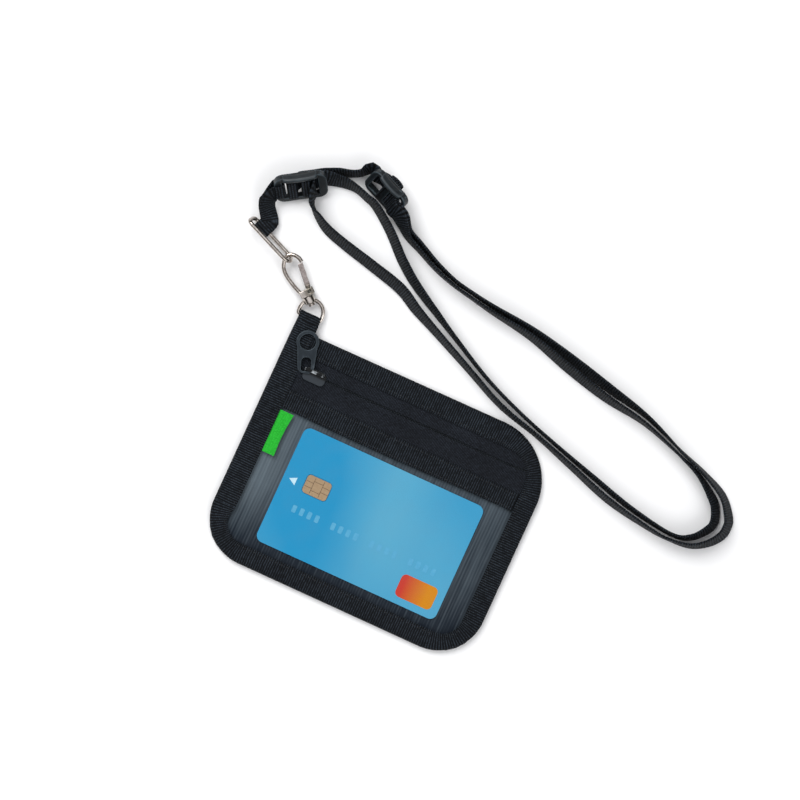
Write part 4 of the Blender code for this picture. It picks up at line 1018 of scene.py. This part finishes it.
# Black nylon coil: a dark seam with faint lighter tips.
coil_plastic = speckled("coil_plastic", "030405", "2A3036", 400.0, Roughness=0.4, Specular_IOR_Level=0.2)
for name, cad, side in (("coil_lower_teeth", "zip_coil_lower", -1), ("coil_upper_teeth", "zip_coil_upper", 1)):
    bm = bmesh.new()
    for i in range(int((OPEN_RIGHT - OPEN_LEFT - 0.001) / TOOTH_PITCH)):
        x = OPEN_LEFT + 0.0008 + TOOTH_PITCH * (i + (0.5 if side > 0 else 0.0))
        y = coil_y(x)
        head = Vector((x, y - side * 0.0002, ZIP_Z + 0.00045))
        capsule(bm, (x - 0.0002, y + side * TOOTH_REACH, ZIP_Z + 0.0001), head, 0.00024)
        capsule(bm, head, (x + 0.0002, y + side * TOOTH_REACH, ZIP_Z - 0.0003), 0.0002)
    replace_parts(piece(name, bm, coil_plastic, "pouch"), cad)

# Zip slider and puller
# The slider is a die casting in black enamel with a bridge over its back, and the puller a flat casting
# whose slot hangs round the bridge's foot.

# Stoved black enamel in lit and shaded tones: a grey plate as a painted reflection, the bridge and far half painted
# near-black as shade, paler edges as a painted highlight, and a painted glint on the bridge's crest.
enamel, tree, surface, where = material("slider_enamel", Roughness=0.2, Specular_IOR_Level=0.22)
parts = node(tree, "SeparateXYZ", [where]).node.outputs
height = parts[2]
raised = node(tree, "MapRange", (height, 0.0049, 0.0052))
behind = node(tree, "MapRange", (parts[1], 0.0352, 0.0362))
# Painted shade: near-black on the raised bridge and on the slider's far half.
upper = node(tree, "Math", (raised, behind), operation="MAXIMUM")
# Paler edges by curvature: a painted highlight.
painted_edge_highlight = node(tree, "MapRange", (node(tree, "NewGeometry", output="Pointiness"), 0.52, 0.6))
# A painted glint along the bridge's crest, broken up by noise.
crest_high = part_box("slider_body")[1].z
crest = node(tree, "MapRange", (height, crest_high - 0.0004, crest_high - 0.0001))
glints = node(tree, "TexNoise", {"Vector": where, "Scale": 420.0, "Detail": 1.0})
glints = node(tree, "Math", (crest, node(tree, "MapRange", (glints, 0.5, 0.64))), operation="MULTIPLY")
# The plate's grey base tone is a painted reflection of the light on black enamel.
tone = "2A3036"
for share, colour in ((upper, "030405"), (painted_edge_highlight, "4A5056"), (glints, "A4AAAE")):
    tone = node(tree, "Mix", {0: share, 6: tone, 7: colour}, 2, data_type="RGBA")
tree.links.new(tone, surface["Base Color"])
node(tree, "MapRange", (height, 0.0062, 0.0066, 0.38, 0.12), to=surface["Roughness"])
cast("zip_slider", "slider_body", enamel, "slider", voxel=0.00012, rounds=4)

# Gun-metal plate: a soft dark grey sheen, painted paler along the edges as a highlight, and rubbed paler in spots.
gun_metal, tree, surface, where = material("puller_metal", Roughness=0.45, Metallic=0.85)
# Paler edges by curvature: a painted highlight. The noise spots below are wear.
painted_edge_highlight = node(tree, "MapRange", (node(tree, "NewGeometry", output="Pointiness"), 0.5, 0.58))
spots = node(tree, "TexNoise", {"Vector": where, "Scale": 300.0, "Detail": 5.0})
spots = node(tree, "MapRange", (spots, 0.5, 0.8, 0.0, 0.4))
edge_highlight_and_wear_spots = node(tree, "Math", (painted_edge_highlight, spots), operation="ADD")
node(tree, "Mix", {0: edge_highlight_and_wear_spots, 6: "22282D", 7: "5A646B"}, 2, surface["Base Color"], data_type="RGBA")
grain = node(tree, "TexNoise", {"Vector": where, "Scale": 2600.0, "Detail": 3.0})
node(tree, "Bump", {"Height": grain, "Distance": 0.00002}, to=surface["Normal"])
cast("zip_puller", "puller", gun_metal, "puller", voxel=0.00012, rounds=4)

# Card and its contact plate
# A laminated plastic card with a small arrow, four groups of raised bars and a plain amber patch, all
# printed or pressed on it. The contact plate is gold-coloured, with its segment lines cut in.

CARD_X, CARD_Y = 0.00175, -0.01241
CARD_HIGH = 0.00246
INK_LOW = CARD_HIGH + 0.00002
INK_HIGH = 0.00003
ARROW = ((-0.0401, 0.0034), (-0.0368, 0.0014), (-0.0368, 0.0050))
BARS_FROM = (-0.0335, -0.0095)
GROUP_PITCH, BAR_PITCH = 0.0185, 0.0036
BAR_WIDTH, BAR_HEIGHT, BAR_RISE = 0.0019, 0.0033, 0.0001
PATCH = (CARD_X + 0.0222, CARD_X + 0.0393, CARD_Y - 0.0238, CARD_Y - 0.0134)
PATCH_CORNER = 0.0022
HALF_LINE = 0.00011
CONTACT_LINES = (
    (-0.0021, 0, HALF_LINE, 0.0036), (0.0021, 0, HALF_LINE, 0.0036),
    (-0.0038, 0.0012, 0.0017, HALF_LINE), (-0.0038, -0.0012, 0.0017, HALF_LINE),
    (0.0038, 0.0012, 0.0017, HALF_LINE), (0.0038, -0.0012, 0.0017, HALF_LINE),
    (0, 0.0021, 0.0021, HALF_LINE), (0, -0.0021, 0.0021, HALF_LINE),
)

# Laminated PVC: clear sky blue in broad soft waves, paler across the middle.
card_plastic, tree, surface, where = material("card_plastic", Roughness=0.35, Specular_IOR_Level=0.25)
across = node(tree, "SeparateXYZ", [where])
waves = {"Vector": where, "Scale": 7.0, "Distortion": 3.2, "Detail": 1.0, "Detail Scale": 0.6, "Phase Offset": 2.2}
waves = node(tree, "TexWave", waves, 1, bands_direction="DIAGONAL")
cloud = node(tree, "TexNoise", {"Vector": where, "Scale": 22.0, "Detail": 1.0})
pale = node(tree, "Math", (waves, cloud), operation="ADD")
pale = node(tree, "MapRange", (pale, 0.6, 1.5, -0.15, 0.25))
off_middle = node(tree, "Math", (across, 0.004), operation="SUBTRACT")
off_middle = node(tree, "Math", [off_middle], operation="ABSOLUTE")
for source, low, high, least, most in ((across, -0.025, 0.012, 0.0, 0.5), (off_middle, 0.0, 0.022, 0.3, 0.0)):
    part = node(tree, "MapRange", (source, low, high, least, most))
    pale = node(tree, "Math", (pale, part), operation="ADD")
node(tree, "Mix", {0: pale, 6: "0588B8", 7: "50A0C0"}, 2, surface["Base Color"], data_type="RGBA")
dress("card", card_plastic)

# Screen-printed inks and pressed bars: flat pale tones with the faint grain of the print.
white_ink = speckled("white_ink", "A9D3E4", "C6E2EC", 900.0, Roughness=0.4)
bm = bmesh.new()
outline_prism(bm, [(CARD_X + x, CARD_Y + y) for x, y in ARROW], INK_LOW, INK_LOW + INK_HIGH)
piece("card_arrow", bm, white_ink, "card")

raised_ink = speckled("raised_bars", "2B93BF", "57A8C9", 700.0, Roughness=0.3)
bm = bmesh.new()
for group in range(4):
    for bar in range(4):
        x = CARD_X + BARS_FROM[0] + group * GROUP_PITCH + bar * BAR_PITCH
        y = CARD_Y + BARS_FROM[1]
        outline_prism(bm, rounded(x, x + BAR_WIDTH, y, y + BAR_HEIGHT, 0.0005, 3), INK_LOW, INK_LOW + BAR_RISE)
piece("card_raised_bars", bm, raised_ink, "card")

# Glossy ink that turns from red at its left to amber at its right.
amber_ink, tree, surface, where = material("amber_patch", Roughness=0.4, Specular_IOR_Level=0.15)
side = node(tree, "MapRange", (node(tree, "SeparateXYZ", [where]), 0.026, 0.037))
node(tree, "Mix", {0: side, 6: "BC3424", 7: "C87F00"}, 2, surface["Base Color"], data_type="RGBA")
bm = bmesh.new()
outline_prism(bm, rounded(*PATCH, PATCH_CORNER), INK_LOW, CARD_HIGH + 0.00006)
piece("card_amber_patch", bm, amber_ink, "card")

# Thin gold plate, worn satin, with brown resin in the cuts between its contacts.
chip_metal = speckled("chip_metal", "94795A", "AA9272", 800.0, Roughness=0.35, Metallic=0.6)
groove = speckled("contact_grooves", "54402A", "6E5638", 900.0, Roughness=0.7)
dress("card_chip", chip_metal)
chip_low, chip_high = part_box("card_chip")
chip_mid = (chip_low + chip_high) / 2
bm = bmesh.new()
for dx, dy, half_x, half_y in CONTACT_LINES:
    x, y = chip_mid.x + dx, chip_mid.y + dy
    outline_prism(bm, [
        (x - half_x, y - half_y), (x + half_x, y - half_y), (x + half_x, y + half_y), (x - half_x, y + half_y),
    ], chip_high.z + 0.00001, chip_high.z + 0.00004)
piece("chip_contact_lines", bm, groove, "card")

# Window film
# A sheet of clear PVC, slightly cockled, cut a little larger than the window. It is held down all round, by
# the binding at its sides and foot and by the cross tape at its top.

FILM_UNDER = 0.004
FILM_Z = 0.00291

# Clear PVC: almost unseen but for its gloss and a few pale scuffs.
film, tree, surface, where = material("clear_film", Roughness=0.16, Specular_IOR_Level=0.15)
scuffs = node(tree, "TexNoise", {"Vector": where, "Scale": 120.0, "Detail": 6.0})
node(tree, "MapRange", (scuffs, 0.4, 0.75, 0.01, 0.035), to=surface["Alpha"])
cloud = node(tree, "TexNoise", {"Vector": where, "Scale": 40.0, "Detail": 3.0})
node(tree, "Mix", {0: cloud, 6: "9AA2A9", 7: "B9BFC4"}, 2, surface["Base Color"], data_type="RGBA")
film_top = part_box("window_sheet")[1].y - 0.0005
rows = []
for i in range(61):
    x = OPEN_LEFT - FILM_UNDER + (OPEN_RIGHT - OPEN_LEFT + 2 * FILM_UNDER) * i / 60
    row = []
    for j in range(37):
        y = OPEN_BOTTOM - FILM_UNDER + (film_top - OPEN_BOTTOM + FILM_UNDER) * j / 36
        ripple = 0.00012 * noise.noise(Vector((x * 60, y * 90, 3.7))) + 0.00005 * math.sin(x * 400 + y * 160)
        row.append(Vector((x, y, FILM_Z + ripple)))
    rows.append(row)
bm = skin(rows, running([row[0] for row in rows]), running(rows[0]))
window = piece("window_film", bm, film, "pouch")
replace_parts(window, "window_sheet")

# Side label
# A strip of green woven tape, folded once and caught under the side tape, so that its free edge curls up
# over the window.

LABEL_LOW, LABEL_LENGTH = -0.0031, 0.0196
LABEL_LEFT, LABEL_RIGHT = -0.0552, -0.0484
LABEL_Z, LABEL_SINK = 0.0035, 0.0002

# Damask-woven polyester: bright green with a fine ribbed grain, painted lighter on the crests as sheen and darker
# in the grooves as shade.
label_cloth = woven("green_label", "1B9424", "38D242", pitch=0.5, yarn=0.5, depth=0.00006, roughness=0.8)
rows = []
for i in range(25):
    share = i / 24
    y = LABEL_LOW + LABEL_LENGTH * share
    left_x = LABEL_LEFT - 0.0004 * (1 - share)
    right_x = LABEL_RIGHT + 0.0006 * share - 0.0006 * math.sin(math.pi * share)
    top, under = [], []
    for j in range(9):
        s = j / 8
        curl = math.sin(s * math.pi * 0.5)
        x = left_x + (right_x - left_x) * s
        top.append(Vector((x, y, LABEL_Z + 0.0007 * curl + 0.0001 * math.sin(share * 9))))
        under.append(Vector((x, y, LABEL_Z - LABEL_SINK + 0.0003 * curl)))
    rows.append(top + under[::-1])
us = running([row[0] for row in rows])
vs = running(rows[0] + rows[0][:1])
label = piece("folded_label", skin(rows, us, vs, around=True, ends=True), label_cloth, "pouch")
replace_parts(label, "side_label")
